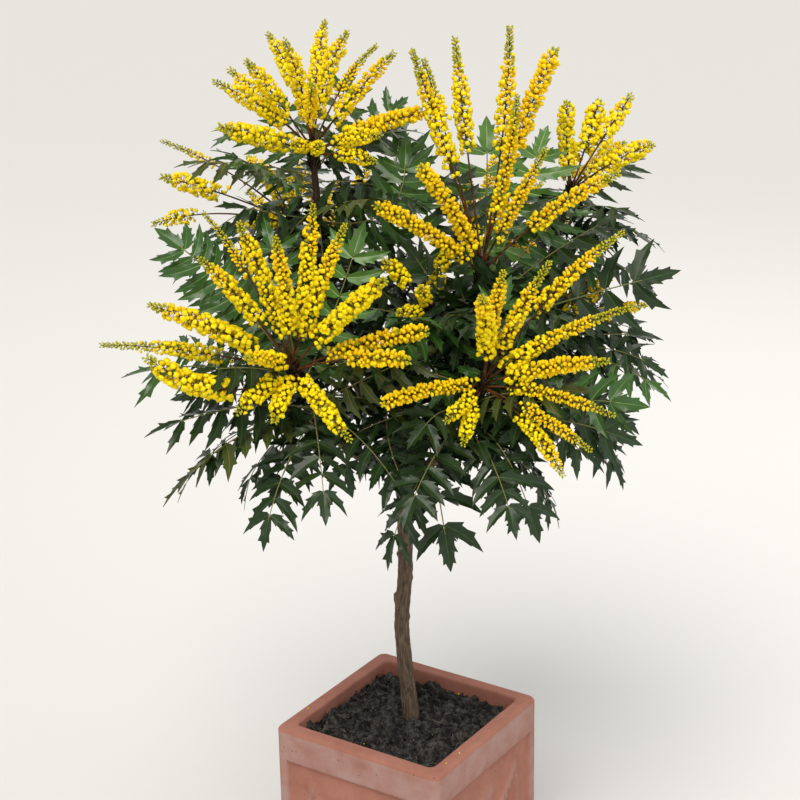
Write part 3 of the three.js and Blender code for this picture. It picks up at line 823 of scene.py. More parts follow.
        foot=(196, -46, 865), top=(254, -62, 950), hub=20, turn=330, reach=0.9, leaves=16,
        tints=(DEEP, DEEP, DEEP, FRESH),
        spikes=(
            Spike(62, -54, 190, 0.6),
            Spike(88, -40, 200, 0.5),
            Spike(40, -66, 170, 0.7),
            Spike(108, -62, 180, 0.8),
            Spike(10, -70, 150, 0.6),
        ),
        shown=(
            Shown(0.6, (328, 0, 978), (423, 20, 904), 30),
            Shown(0.3, (296, 20, 894), (379, 30, 811), 30),
            Shown(0.9, (318, -60, 1009), (419, -60, 930), 20),
        ),
    ),
}
# Which bough or stem each bough leaves, how far along it, and how far out it bellies before it rises
BOUGHS: dict[str, tuple[str, float, float]] = {
    "top_left": ("stem", 0.95, 0.62),
    "low_left": ("stem", 0.9, 0.4),
    "top_right": ("stem", 0.96, 0.62),
    "low_right": ("stem", 0.9, 0.4),
    "back_left": ("stem", 0.93, 0.4),
    "back_right": ("stem", 0.92, 0.4),
    "far_left": ("top_left", 0.5, 0.45),
    "far_right": ("top_right", 0.5, 0.35),
    "middle": ("top_right", 0.2, 0.5),
    "right_side": ("top_right", 0.32, 0.3),
}
FLOWER_NODES = [f"flowers_{name}" for name in SHOOTS]
LEAF_NODES = [f"leaves_{name}" for name in SHOOTS]
BOUGH_NODES = [f"bough_{name}" for name in BOUGHS]


# Geometry node trees


def label(key: str) -> str:
    """A socket's name in plain words, such as Trim finish for trim_finish."""
    return key.replace("_", " ").capitalize()


def growth_tree(name: str, **inputs: str) -> tuple[NodeTree, dict[str, NodeSocket]]:
    """Starts a geometry node tree with a mesh input and output.

    Args:
        name: The tree's name.
        **inputs: The socket type of each further input.

    Returns:
        The tree, and what comes in by each input's name, the mesh's being geometry.
    """
    tree = bpy.data.node_groups.new(name, "GeometryNodeTree")
    kinds = {"geometry": "NodeSocketGeometry", **inputs}
    for key, kind in kinds.items():
        tree.interface.new_socket(label(key), in_out="INPUT", socket_type=kind)
    tree.interface.new_socket("Geometry", in_out="OUTPUT", socket_type="NodeSocketGeometry")
    given = add(tree, "NodeGroupInput")
    return tree, {key: given.outputs[label(key)] for key in kinds}


def copies_tree() -> NodeTree:
    """The shapes' faces with the trait trim take the trim's finish.

    Returns:
        The tree.
    """
    tree, given = growth_tree(
        "shapes_set_at_places",
        shapes="NodeSocketCollection",
        finish="NodeSocketMaterial",
        trim_finish="NodeSocketMaterial",
        size_spread="NodeSocketFloat",
        turn_spread="NodeSocketFloat",
        seed="NodeSocketInt",
    )
    kinds = {name: "FLOAT_VECTOR" for name in ("along", "face", "size")}
    traits = {
        name: add(tree, "GeometryNodeInputNamedAttribute", {"Name": name}, data_type=kind)
        for name, kind in {**kinds, "shape": "FLOAT", "trim": "BOOLEAN"}.items()
    }
    inputs = {0: traits["along"], 1: traits["face"]}
    aimed = add(tree, "FunctionNodeAxesToRotation", inputs, primary_axis="Y", secondary_axis="Z")
    most = given["turn_spread"]
    least = add(tree, "ShaderNodeMath", {0: most, 1: -1.0}, operation="MULTIPLY")
    inputs = {2: least, 3: most, "Seed": given["seed"]}
    angle = add(tree, "FunctionNodeRandomValue", inputs, data_type="FLOAT").outputs[1]
    spin = add(tree, "FunctionNodeAxisAngleToRotation", {"Axis": (0, 1, 0), "Angle": angle})
    turned = add(tree, "FunctionNodeRotateRotation", {0: aimed, 1: spin}, rotation_space="LOCAL")
    low, high = (
        add(tree, "ShaderNodeMath", {0: 1.0, 1: given["size_spread"]}, operation=way)
        for way in ("SUBTRACT", "ADD")
    )
    inputs = {2: low, 3: high, "Seed": given["seed"]}
    factor = add(tree, "FunctionNodeRandomValue", inputs, data_type="FLOAT").outputs[1]
    size = add(tree, "ShaderNodeVectorMath", {0: traits["size"], 3: factor}, operation="SCALE")
    inputs = {"Collection": given["shapes"], "Separate Children": True}
    kit = add(tree, "GeometryNodeCollectionInfo", inputs)
    inputs = {
        "Points": given["geometry"],
        "Instance": kit,
        "Pick Instance": True,
        "Instance Index": traits["shape"],
        "Rotation": turned,
        "Scale": size,
    }
    copies = add(tree, "GeometryNodeInstanceOnPoints", inputs)
    real = add(tree, "GeometryNodeRealizeInstances", {"Geometry": copies})
    body = add(tree, "GeometryNodeSetMaterial", {"Geometry": real, "Material": given["finish"]})
    inputs = {"Geometry": body, "Selection": traits["trim"], "Material": given["trim_finish"]}
    add(tree, "NodeGroupOutput", {"Geometry": add(tree, "GeometryNodeSetMaterial", inputs)})
    return tree


def stalks_tree() -> NodeTree:
    """Makes a tree that turns lines into round stalks, as thick as the points' girth trait says.

    Returns:
        The tree.
    """
    tree, given = growth_tree("stalks_along_lines", sides="NodeSocketInt", finish="NodeSocketMaterial")
    girth = add(tree, "GeometryNodeInputNamedAttribute", {"Name": "girth"}, data_type="FLOAT")
    line = add(tree, "GeometryNodeMeshToCurve", {"Mesh": given["geometry"]})
    ring = add(tree, "GeometryNodeCurvePrimitiveCircle", {"Resolution": given["sides"], "Radius": 1.0})
    inputs = {"Curve": line, "Profile Curve": ring, "Scale": girth, "Fill Caps": True}
    stalks = add(tree, "GeometryNodeCurveToMesh", inputs)
    real = add(tree, "GeometryNodeRealizeInstances", {"Geometry": stalks})
    done = add(tree, "GeometryNodeSetMaterial", {"Geometry": real, "Material": given["finish"]})
    add(tree, "NodeGroupOutput", {"Geometry": done})
    return tree


def crumbs_tree() -> NodeTree:
    """Makes a tree that strews the top of a bed with crumbs, each knocked out of round.

    Returns:
        The tree.
    """
    tree, given = growth_tree(
        "crumbs_on_a_surface",
        spacing="NodeSocketFloat",
        least="NodeSocketFloat",
        most="NodeSocketFloat",
        lumpiness="NodeSocketFloat",
        rareness="NodeSocketFloat",
        fineness="NodeSocketInt",
        seed="NodeSocketInt",
        finish="NodeSocketMaterial",
    )
    ground, seed = given["geometry"], {"Seed": given["seed"]}
    facing = add(tree, "ShaderNodeSeparateXYZ", {0: add(tree, "GeometryNodeInputNormal")}).outputs["Z"]
    inputs = {0: facing, 1: LEVEL_ENOUGH}
    upward = add(tree, "FunctionNodeCompare", inputs, data_type="FLOAT", operation="GREATER_THAN")
    inputs = {
        "Mesh": ground,
        "Selection": upward,
        "Distance Min": given["spacing"],
        "Density Max": MOST_CRUMBS,
        **seed,
    }
    strewn = add(tree, "GeometryNodeDistributePointsOnFaces", inputs, distribute_method="POISSON")
    crumb = add(tree, "GeometryNodeMeshIcoSphere", {"Radius": 1.0, "Subdivisions": given["fineness"]})
    luck = add(tree, "FunctionNodeRandomValue", seed, data_type="FLOAT").outputs[1]
    rare = add(tree, "ShaderNodeMath", {0: luck, 1: given["rareness"]}, operation="POWER")
    inputs = {"Value": rare, "To Min": given["least"], "To Max": given["most"]}
    size = add(tree, "ShaderNodeMapRange", inputs)
    inputs = {0: (0.8, 0.6, 0.45), 1: (1.3, 1.0, 0.85), **seed}
    shape = add(tree, "FunctionNodeRandomValue", inputs, data_type="FLOAT_VECTOR")
    scale = add(tree, "ShaderNodeVectorMath", {0: shape, 3: size}, operation="SCALE")
    inputs = {0: (0.0, 0.0, 0.0), 1: (6.28, 6.28, 6.28), **seed}
    turn = add(tree, "FunctionNodeRandomValue", inputs, data_type="FLOAT_VECTOR")
    inputs = {"Points": strewn, "Instance": crumb, "Rotation": turn, "Scale": scale}
    crumbs = add(tree, "GeometryNodeInstanceOnPoints", inputs)
    real = add(tree, "GeometryNodeRealizeInstances", {"Geometry": crumbs})
    rough = add(tree, "ShaderNodeTexNoise", {"Scale": per_metre(6.0), "Detail": 3.0}).outputs["Color"]
    centred = add(tree, "ShaderNodeVectorMath", {0: rough, 1: (0.5, 0.5, 0.5)}, operation="SUBTRACT")
    knock = add(tree, "ShaderNodeVectorMath", {0: centred, 3: given["lumpiness"]}, operation="SCALE")
    knocked = add(tree, "GeometryNodeSetPosition", {"Geometry": real, "Offset": knock})
    both = add(tree, "GeometryNodeJoinGeometry", {"Geometry": knocked})
    feed(tree, both, {"Geometry": ground})
    done = add(tree, "GeometryNodeSetMaterial", {"Geometry": both, "Material": given["finish"]})
    add(tree, "NodeGroupOutput", {"Geometry": done})
    return tree


def grown(seedling: Object, tree: NodeTree, **values: Any) -> Object:
    """Runs a growth tree on an object and keeps the result as its plain mesh.

    Args:
        seedling: An object in the scene's collection or in none.
        tree: The geometry node tree.
        **values: The tree's inputs.

    Returns:
        The same object, now with the grown mesh and no modifier.
    """
    if seedling.name not in bpy.context.scene.collection.objects:
        bpy.context.scene.collection.objects.link(seedling)
    modifier = seedling.modifiers.new("growth", "NODES")
    modifier.node_group = tree
    labelled = {label(key): value for key, value in values.items()}
    for item in tree.interface.items_tree:
        if item.in_out == "INPUT" and item.name in labelled:
            modifier[item.identifier] = labelled[item.name]
    depsgraph = bpy.context.evaluated_depsgraph_get()
    mesh = bpy.data.meshes.new_from_object(seedling.evaluated_get(depsgraph), depsgraph=depsgraph)
    seedling.modifiers.remove(modifier)
    mesh.name = seedling.name
    seedling.data = mesh
    return seedling


class Kit:
    """Small shapes, kept off the scene, for the copies tree."""

    def __init__(self, name: str, shapes: Sequence[Draft]) -> None:
        """Makes an object of each shape.

        Args:
            shapes: The shapes in the order of their numbers.
        """
        self.triangles = np.array([shape.triangles() for shape in shapes])
        self.collection = bpy.data.collections.new(name)
        for number, shape in enumerate(shapes):
            self.collection.objects.link(shape.make(f"{name}_{number:02d}"))

    def put_away(self) -> None:
        """Removes the shapes once their copies are made."""
        for shape in list(self.collection.objects):
            bpy.data.objects.remove(shape)
        bpy.data.collections.remove(self.collection)


@dataclass
class Places:
    rows: list[tuple[np.ndarray, ...]] = field(default_factory=list)

    def add(self, place: np.ndarray, along: np.ndarray, face: np.ndarray, size: Any, shape: Any) -> None:
        """Adds places.

        Args:
            place: Points in millimetres, one a row.
            along: Where the shape's Y axis points.
            face: Where its Z axis points, as far as the Y axis lets it.
            size: The scale of each copy, as one number or three.
            shape: The number of each copy's shape in its kit.
        """
        count = len(place)
        size = np.asarray(size, float)
        scale = size if size.ndim == 2 else np.repeat(np.broadcast_to(size, count)[:, None], 3, axis=1)
        spread = [np.broadcast_to(value, (count, 3)) for value in (along, face)]
        self.rows.append((place, *spread, scale, np.broadcast_to(np.asarray(shape, float), count)))

    def copies(
        self, name: str, kit: Kit, tree: NodeTree, finish: Finish, trim: Finish, **chances: Any
    ) -> list[Object]:
        """Makes the copies, as many pieces as keep each under the limit.

        Args:
            name: The pieces' name, which gets a number where there are several.
            kit: The shapes.
            tree: The copies tree.
            finish: The finish of the shapes.
            trim: The finish of their trim.
            **chances: The tree's size_spread, turn_spread and seed.

        Returns:
            The pieces.
        """
        place, along, face, size, shape = (np.concatenate(column) for column in zip(*self.rows))
        total = kit.triangles[shape.astype(int)].cumsum()
        parts = max(1, math.ceil(total[-1] / PIECE_LIMIT))
        which = np.minimum((total - 1) * parts // total[-1], parts - 1)
        finishes = {"finish": finish.material(), "trim_finish": trim.material()}
        pieces = []
        for part in range(parts):
            own = which == part
            traits = {"along": along[own], "face": face[own], "size": size[own], "shape": shape[own]}
            title = name if parts == 1 else f"{name}_{part + 1}"
            seedling = Draft(place[own], traits=traits).make(title)
            pieces.append(grown(seedling, tree, shapes=kit.collection, **finishes, **chances))
        return pieces


@dataclass
class Lines:
    """Lines that become round stalks."""

    drafts: list[Draft] = field(default_factory=list)

    def add(self, points: np.ndarray, radii: np.ndarray) -> None:
        """Adds a line of points in millimetres with the stalk's radius at each."""
        edges = [(i, i + 1) for i in range(len(points) - 1)]
        self.drafts.append(Draft(points, edges=edges, traits={"girth": radii * MM}))

    def stalks(self, name: str, tree: NodeTree, sides: int, finish: Finish) -> Object:
        """The stalks along all the lines, as one piece."""
        seedling = joined(self.drafts).make(name)
        return grown(seedling, tree, sides=sides, finish=finish.material())


# The planter and what fills it


@dataclass
class Planter:
    """A square pot, pressed in a mould: a plain band under the rim and a sunk panel on each wall, with a
    generic garland hung in a swag from two rosettes, a larger rosette over it and a ribbon on each side.

    A pair of numbers is the width and the depth of an unevenness of the walls.
    """

    side: float = 320.0
    height: float = 310.0
    corner: float = 14.0
    rim_width: float = 26.0
    rim_round: float = 8.0
    floor: float = 22.0
    panel_margin: float = 25.0
    panel_top: float = 62.0
    panel_foot: float = 30.0
    panel_depth: float = 6.0
    panel_bevel: float = 3.0
    relief: float = 5.6
    relief_round: float = 15.0
    sheltered_bloom: float = 0.22
    rim_bloom: float = 0.22
    inner_bloom: float = 0.1
    waves: tuple[float, float] = (42.0, 0.35)
    grit: tuple[float, float] = (7.0, 0.16)
    foot_round: float = 4.0
    foot_inset: float = 3.0
    rosette: float = 15.0
    large_rosette: float = 24.0
    large_drop: float = 12.0
    swag_half: float = 88.0
    swag_top: float = 208.0
    swag_sag: float = 70.0
    ribbon_foot: float = 92.0
    step: float = 3.4
    corner_steps: int = 8

    def build(self) -> Object:
        """The pot in place of its solid.

        Returns:
            The piece.
        """
        rings, raised = self.rings()
        points = rings.reshape(-1, 3)
        outward = unit(points * (1, 1, 0))
        (wave, wave_depth), (grit, grit_depth) = self.waves, self.grit
        uneven = roughness_at(points, wave) * wave_depth + roughness_at(points, grit, 2) * grit_depth
        points = points - outward * (np.abs(uneven) + 0.05)[:, None]
        pot = Draft(points, skin(rings), traits={"raised": raised})
        return show(pot.make("pot", TERRACOTTA), "terracotta", "planter")

    def ring(self, inset: float, corner: float, height: float) -> tuple[np.ndarray, np.ndarray, np.ndarray]:
        """A level ring round the pot.

        Args:
            inset: How far it lies inside the pot's side.
            corner: The radius of its corners.
            height: Its height.

        Returns:
            Its points, the place across the wall of each, and the way out of the wall of each.
        """
        half = self.side / 2 - inset
        straight = half - corner
        count = round((self.side - 2 * self.corner) / self.step)
        xs = np.linspace(-straight, straight, count)
        turns = np.linspace(0, math.pi / 2, self.corner_steps + 2)[1:-1]
        points, across, out = [], [], []
        for wall in range(4):
            angle = wall * math.pi / 2
            cos, sin = math.cos(angle), math.sin(angle)
            local_x = np.concatenate([xs, straight + corner * np.sin(turns)])
            local_y = np.concatenate([np.full(count, -half), -straight - corner * np.cos(turns)])
            points.append(np.stack([local_x * cos - local_y * sin, local_x * sin + local_y * cos], 1))
            across.append(np.concatenate([xs, np.full(len(turns), half)]))
            out.append(np.tile((sin, -cos), (len(local_x), 1)))
        level = np.concatenate(points)
        ring = np.column_stack([level, np.full(len(level), height)])
        ways = np.column_stack([np.concatenate(out), np.zeros(len(level))])
        return ring, np.concatenate(across), ways

    def rings(self) -> tuple[np.ndarray, np.ndarray]:
        """All rings, from the underside up the outside, over the rim and down the inside.

        Returns:
            The rings' points, and how far each stands out of the sunk panels, from 0 to 1.
        """
        top, foot = self.height - self.rim_round, self.foot_round
        rows: list[np.ndarray] = []
        shares: list[np.ndarray] = []
        for z in np.concatenate([[0.0, 1.2, foot], np.arange(foot + self.step, top, self.step), [top]]):
            ring, across, out = self.ring(max(0.0, self.foot_inset * (1 - z / foot)), self.corner, z)
            depth = self.depth(across, np.full(len(across), z))
            rows.append(ring - out * depth[:, None])
            shares.append(1 - np.clip(depth / self.panel_depth, 0, 1 - self.sheltered_bloom))
        for inset, corner, z in self.rim():
            rows.append(self.ring(inset, corner, z)[0])
            shares.append(np.full(len(rows[0]), self.rim_bloom if z > top else self.inner_bloom))
        return np.stack(rows), np.concatenate(shares)

    def rim(self) -> list[tuple[float, float, float]]:
        """The inset, corner radius and height of each ring from the outer edge over the rim.

        Returns:
            The rings, in order.
        """
        top, lip = self.height, self.rim_round / 2
        inner_corner = self.corner * 0.8
        made = []
        for turn in np.radians(np.linspace(12, 90, 8)):
            inset = self.rim_round * (1 - math.cos(turn))
            made.append((inset, self.corner - inset * 0.5, top - self.rim_round * (1 - math.sin(turn))))
        for inset in np.linspace(self.rim_round, self.rim_width - lip, 8)[1:-1]:
            made.append((inset, inner_corner, top - 0.4 * math.sin(inset)))
        for turn in np.radians(np.linspace(90, 0, 6)):
            inset = self.rim_width - lip * (1 - math.cos(turn))
            made.append((inset, inner_corner, top - lip * (1 - math.sin(turn))))
        for z in np.linspace(top - lip - 5, self.floor, 18):
            made.append((self.rim_width, inner_corner, z))
        return made

    def depth(self, x: np.ndarray, z: np.ndarray) -> np.ndarray:
        """How far the wall lies in at each place across it and height.

        Args:
            x: Places across the wall, from its middle.
            z: Their heights.

        Returns:
            Millimetres from the wall's plane, one for each place.
        """
        wide = self.side / 2 - self.panel_margin
        middle = (self.panel_foot + self.height - self.panel_top) / 2
        high = (self.height - self.panel_top - self.panel_foot) / 2
        outside = np.maximum(np.abs(x) - wide, np.abs(z - middle) - high)
        slope = np.clip(1 - outside / self.panel_bevel, 0, 1)
        sunk = self.panel_depth * slope * slope * (3 - 2 * slope)
        raised = np.maximum.reduce(
            [
                self.garland(x, z),
                self.ribbons(x, z),
                self.petals(x, z, -self.swag_half, self.swag_top, self.rosette),
                self.petals(x, z, self.swag_half, self.swag_top, self.rosette),
                self.petals(x, z, 0, self.swag_top - self.large_drop, self.large_rosette),
            ]
        )
        return np.where(slope >= 1, sunk - self.relief * raised, sunk)

    def garland(self, x: np.ndarray, z: np.ndarray) -> np.ndarray:
        """The hanging garland of overlapping leaves, as a share of the relief.

        Args:
            x: Places across the wall, from its middle.
            z: Their heights.

        Returns:
            One share for each place.
        """
        share = np.clip((x / self.swag_half + 1) / 2, 0, 1)
        line = self.swag_top - 4 * self.swag_sag * share * (1 - share)
        slope = 2 * self.swag_sag * (2 * share - 1) / self.swag_half
        girth = self.relief_round * (0.45 + 0.55 * np.sin(np.pi * share))
        off = (z - line) / np.hypot(1, slope) / girth
        along = np.abs(x) * np.hypot(1, slope * 0.6)
        scales = 0.5 + 0.5 * np.cos(2 * np.pi * (along / 17 - np.abs(off) * 0.6))
        body = np.sqrt(np.clip(1 - off**2, 0, 1)) * (0.55 + 0.45 * scales)
        return np.where(np.abs(x) < self.swag_half, body, 0)

    def petals(self, x: np.ndarray, z: np.ndarray, at_x: float, at_z: float, radius: float) -> np.ndarray:
        """A rosette of eight petals round a button, as a share of the relief.

        Args:
            x: Places across the wall, from its middle.
            z: Their heights.
            at_x: The rosette's place across the wall.
            at_z: Its height.
            radius: Its radius.

        Returns:
            One share for each place.
        """
        away = np.hypot(x - at_x, z - at_z) / radius
        petal = np.abs(np.cos(4 * np.arctan2(z - at_z, x - at_x)))
        edge = 0.84 + 0.16 * petal
        leaf = np.clip(1 - (away / edge) ** 4, 0, 1) * (0.45 + 0.4 * np.sqrt(petal) * away)
        button = np.sqrt(np.clip(1 - (away / 0.3) ** 2, 0, 1))
        return np.maximum(leaf, button)

    def ribbons(self, x: np.ndarray, z: np.ndarray) -> np.ndarray:
        """The two fluted ribbons that hang from the rosettes, as a share of the relief.

        Args:
            x: Places across the wall, from its middle.
            z: Their heights.

        Returns:
            One share for each place.
        """
        half, foot = self.swag_half, self.ribbon_foot
        ends = [np.array((half, 0, self.swag_top)), np.array((half + 4, 0, foot))]
        bend = np.array((half + 26, 0, (self.swag_top + foot) / 2))
        line = Arch(ends[0], bend, ends[1]).at(np.linspace(0, 1, 40))
        gap = np.hypot(np.abs(x)[:, None] - line[:, 0], z[:, None] - line[:, 2])
        nearest = gap.argmin(axis=1)
        wide = self.relief_round * (0.4 + 0.2 * nearest / len(line))
        off = gap.min(axis=1) / wide
        return np.clip(1 - off**6, 0, 1) * (0.5 + 0.2 * np.cos(off * 2 * np.pi))


@dataclass(frozen=True)
class Crumbs:
    """Crumbs to strew on a bed.

    spacing is the least gap between two, least and most are their sizes, and lumpiness is how far they are
    knocked out of round, all in millimetres. rareness is how rare the large ones are, and fineness how
    finely each is made.
    """

    spacing: float
    least: float
    most: float
    lumpiness: float
    rareness: float
    fineness: int

    def strew(self, bed: Object, tree: NodeTree, seed: int) -> None:
        """Strews them on the bed with the crumbs tree.

        Args:
            bed: The bed.
            tree: The crumbs tree.
            seed: The seed of places, sizes and shapes.
        """
        lengths = {key: getattr(self, key) * MM for key in ("spacing", "least", "most", "lumpiness")}
        finish = PEAT.material()
        grown(bed, tree, rareness=self.rareness, fineness=self.fineness, seed=seed, finish=finish, **lengths)


@dataclass
class Compost:
    """The peat that fills the pot, uneven on top and strewn with clods and crumbs.

    A pair of numbers is the width and the height of an unevenness of the top, and squareness how nearly
    the filling's outline is a square.
    """

    half: float = 133.7
    top: float = 288.0
    edge_drop: float = 5.0
    edge_from: float = 0.45
    depth: float = 60.0
    rings: int = 46
    around: int = 160
    squareness: float = 14.0
    swells: tuple[float, float] = (34.0, 5.0)
    lumps: tuple[float, float] = (9.0, 2.6)
    strewn: tuple[Crumbs, ...] = (
        Crumbs(spacing=13.0, least=4.5, most=18.0, lumpiness=16.0, rareness=2.4, fineness=2),
        Crumbs(spacing=5.4, least=2.3, most=8.5, lumpiness=9.0, rareness=3.5, fineness=1),
    )
    seed: int = 5

    def height(self, share: np.ndarray) -> np.ndarray:
        """The height of the top at each share of the way from the middle to the wall."""
        outer = np.clip((share - self.edge_from) / (1 - self.edge_from), 0, 1)
        return self.top - self.edge_drop * outer**1.5

    def build(self) -> Object:
        """The peat in place of its solid.

        Returns:
            The piece.
        """
        shares = np.concatenate([[1.0, 1.0], np.linspace(1, 0.02, self.rings)])
        turn = np.linspace(0, 2 * math.pi, self.around, endpoint=False)
        cos, sin, power = np.cos(turn), np.sin(turn), self.squareness
        radius = (np.abs(cos) ** power + np.abs(sin) ** power) ** (-1 / power)
        flat = np.stack([cos, sin], 1) * (radius * self.half)[:, None]
        rows = [
            np.column_stack([flat * share, np.full(self.around, self.height(share))]) for share in shares
        ]
        rows[0][:, 2] -= self.depth
        rings = np.stack(rows)
        points = rings.reshape(-1, 3)
        (swell, swell_height), (lump, lump_height) = self.swells, self.lumps
        uneven = roughness_at(points, swell, 4) * swell_height
        uneven = uneven + np.abs(roughness_at(points, lump, 3)) * lump_height - swell_height / 2
        inner = np.repeat(np.clip((1 - shares) / 0.04, 0, 1), self.around)
        points[:, 2] += uneven * inner
        bed = Draft(points, skin(rings)).make("compost_bed")
        tree = crumbs_tree()
        for crumbs in self.strewn:
            crumbs.strew(bed, tree, self.seed)
        return show(bed, "compost", "compost")


# Limbs


@dataclass(frozen=True)
class Knot:
    """A swelling or a cut twig's stub on a limb: its share of the way up, its turn round the limb from
    the viewer's right in degrees, how far it stands out, and its half width along the limb."""

    share: float
    turn: float
    stands: float
    spread: float


@dataclass
class Limb:
    """A tapering limb with furrowed bark, whose furrows are run times as long as they are wide."""

    path: np.ndarray
    radii: np.ndarray
    sides: int = 16
    furrow: float = 4.0
    furrow_depth: float = 0.5
    run: float = 7.0
    knots: tuple[Knot, ...] = ()
    knot_turn: float = 0.55

    def draft(self) -> Draft:
        """The limb's mesh, with coordinates for its bark that follow it.

        Returns:
            The draft.
        """
        heading = unit(np.gradient(self.path, axis=0))
        chord = unit(self.path[-1] - self.path[0])
        guide = TOWARD if abs(chord[2]) > 0.7 else UP
        level, rise = across_of(heading, guide)
        along = np.concatenate([[0], np.linalg.norm(np.diff(self.path, axis=0), axis=1).cumsum()])
        turn = -2 * math.pi * np.arange(self.sides) / self.sides
        cos, sin = np.cos(turn)[None, :], np.sin(turn)[None, :]
        radii = np.broadcast_to(self.radii[:, None], (len(self.path), self.sides))
        lengthwise = np.broadcast_to(along[:, None], radii.shape)
        grain = np.stack([cos * radii, sin * radii, lengthwise], 2).reshape(-1, 3)
        rough = roughness_at(grain * (1, 1, 1 / self.run), self.furrow).reshape(radii.shape)
        radii = radii + self.furrow_depth * (np.abs(rough) * 2.4 - 0.7)
        share = lengthwise / along[-1]
        for knot in self.knots:
            aside = np.angle(np.exp(1j * (turn[None, :] + math.radians(knot.turn))))
            away = ((share - knot.share) * along[-1] / knot.spread) ** 2
            radii = radii + knot.stands * np.exp(-away - (aside / self.knot_turn) ** 2)
        rings = (
            self.path[:, None, :]
            + level[:, None, :] * (cos * radii)[:, :, None]
            + rise[:, None, :] * (sin * radii)[:, :, None]
        )
        return Draft(rings.reshape(-1, 3), skin(rings), traits={"grain": grain * MM})


@dataclass
class Framework:
    """The bare stem, the boughs and the leafy shoots' stems."""

    stem_stops: tuple[Place, ...] = (
        (7, -20, 280), (-3, -20, 390), (-7, -20, 470), (0, -20, 560), (1, -20, 670), (2, -20, 800)
    )
    widths: tuple[tuple[float, float], ...] = (
        (0, 15.0), (0.05, 13.9), (0.12, 12.6), (0.6, 12.0), (0.86, 12.0), (0.95, 17.0), (1, 12.0)
    )
    bough_base: float = 8.0
    bough_tip: float = 6.2
    side_share: float = 0.86
    stem_rings: int = 260
    stem_sides: int = 56
    bough_rings: int = 54
    shoot_rings: int = 46
    shoot_sides: int = 12
    shoot_base: float = 6.2
    shoot_tip: float = 4.8
    scar_spacing: float = 9.0
    scar_height: float = 0.5
    knots: tuple[Knot, ...] = (
        Knot(0.44, 182, 3.6, 9), Knot(0.455, 175, 3.0, 3.5), Knot(0.60, 186, 2.6, 3.5),
        Knot(0.38, 8, 1.8, 7), Knot(0.52, 350, 2.0, 6), Knot(0.2, 200, 1.6, 8),
        Knot(0.28, 120, 2.2, 5), Knot(0.7, 260, 2.4, 6), Knot(0.8, 170, 2.0, 5),
    )

    def stem_at(self, shares: Any) -> np.ndarray:
        """Points of the stem's middle line, a smooth curve through its stops.

        Args:
            shares: Shares of the way up.

        Returns:
            One point for each share.
        """
        stops = np.array([seen(stop) for stop in self.stem_stops])
        padded = np.vstack([2 * stops[0] - stops[1], stops, 2 * stops[-1] - stops[-2]])
        whole = np.atleast_1d(shares) * (len(stops) - 1)
        first = np.minimum(whole.astype(int), len(stops) - 2)
        t = (whole - first)[:, None]
        a, b, c, d = (padded[first + i] for i in range(4))
        cubic = (2 * a - 5 * b + 4 * c - d) * t**2 + (3 * b - a - 3 * c + d) * t**3
        return (2 * b + (c - a) * t + cubic) / 2

    def bough(self, name: str) -> Arch:
        """The middle line of a bough, which leaves its parent outwards and ends in line with its shoot.

        Args:
            name: The bough's name.

        Returns:
            The curve.
        """
        parent, share, belly = BOUGHS[name]
        start = self.stem_at(share)[0] if parent == "stem" else self.bough(parent).at(share)[0]
        shoot = SHOOTS[name]
        foot = seen(shoot.foot)
        over = foot - shoot.lift() * np.linalg.norm(foot - start) * belly
        return Arch(start, over, foot)

    def build(self) -> list[Object]:
        """The stem, the boughs and the shoots' stems, each kind as one piece.

        Returns:
            The three pieces.
        """
        shares = np.linspace(0, 1, self.stem_rings)
        radii = np.interp(shares, *zip(*self.widths))
        stem = Limb(self.stem_at(shares), radii, self.stem_sides, furrow_depth=0.75, knots=self.knots)
        boughs, shoots = [], []
        for name, (parent, _, _) in BOUGHS.items():
            size = 1.0 if parent == "stem" else self.side_share
            share = np.linspace(0, 1, self.bough_rings)
            radii = mix((self.bough_base * size, self.bough_tip * size), share)
            boughs.append(Limb(self.bough(name).at(share), radii, furrow=3.2, furrow_depth=0.5).draft())
            shoots.append(self.shoot(SHOOTS[name]))
        return [
            show(stem.draft().make("stem_bark", STEM_BARK), "bark", "stem"),
            show(joined(boughs).make("bough_bark", STEM_BARK), "bark", *BOUGH_NODES),
            show(joined(shoots).make("shoot_bark", SHOOT_BARK), "bark"),
        ]

    def shoot(self, shoot: Shoot) -> Draft:
        """A shoot's stem and the hub at its top, ringed by old leaf scars.

        Args:
            shoot: The shoot.

        Returns:
            The draft.
        """
        share = np.linspace(0, 1, self.shoot_rings)
        top = seen(shoot.top) + shoot.lift() * shoot.hub
        path = mix((seen(shoot.foot), top), share[:, None])
        turns = share * math.pi * np.linalg.norm(top - seen(shoot.foot)) / self.scar_spacing
        radii = mix((self.shoot_base, self.shoot_tip), share) + self.scar_height * np.abs(np.sin(turns))
        radii[-4:] *= (0.95, 0.85, 0.65, 0.3)
        return Limb(path, radii, self.shoot_sides, furrow=2.6, furrow_depth=0.6, run=2.5).draft()


# Leaves


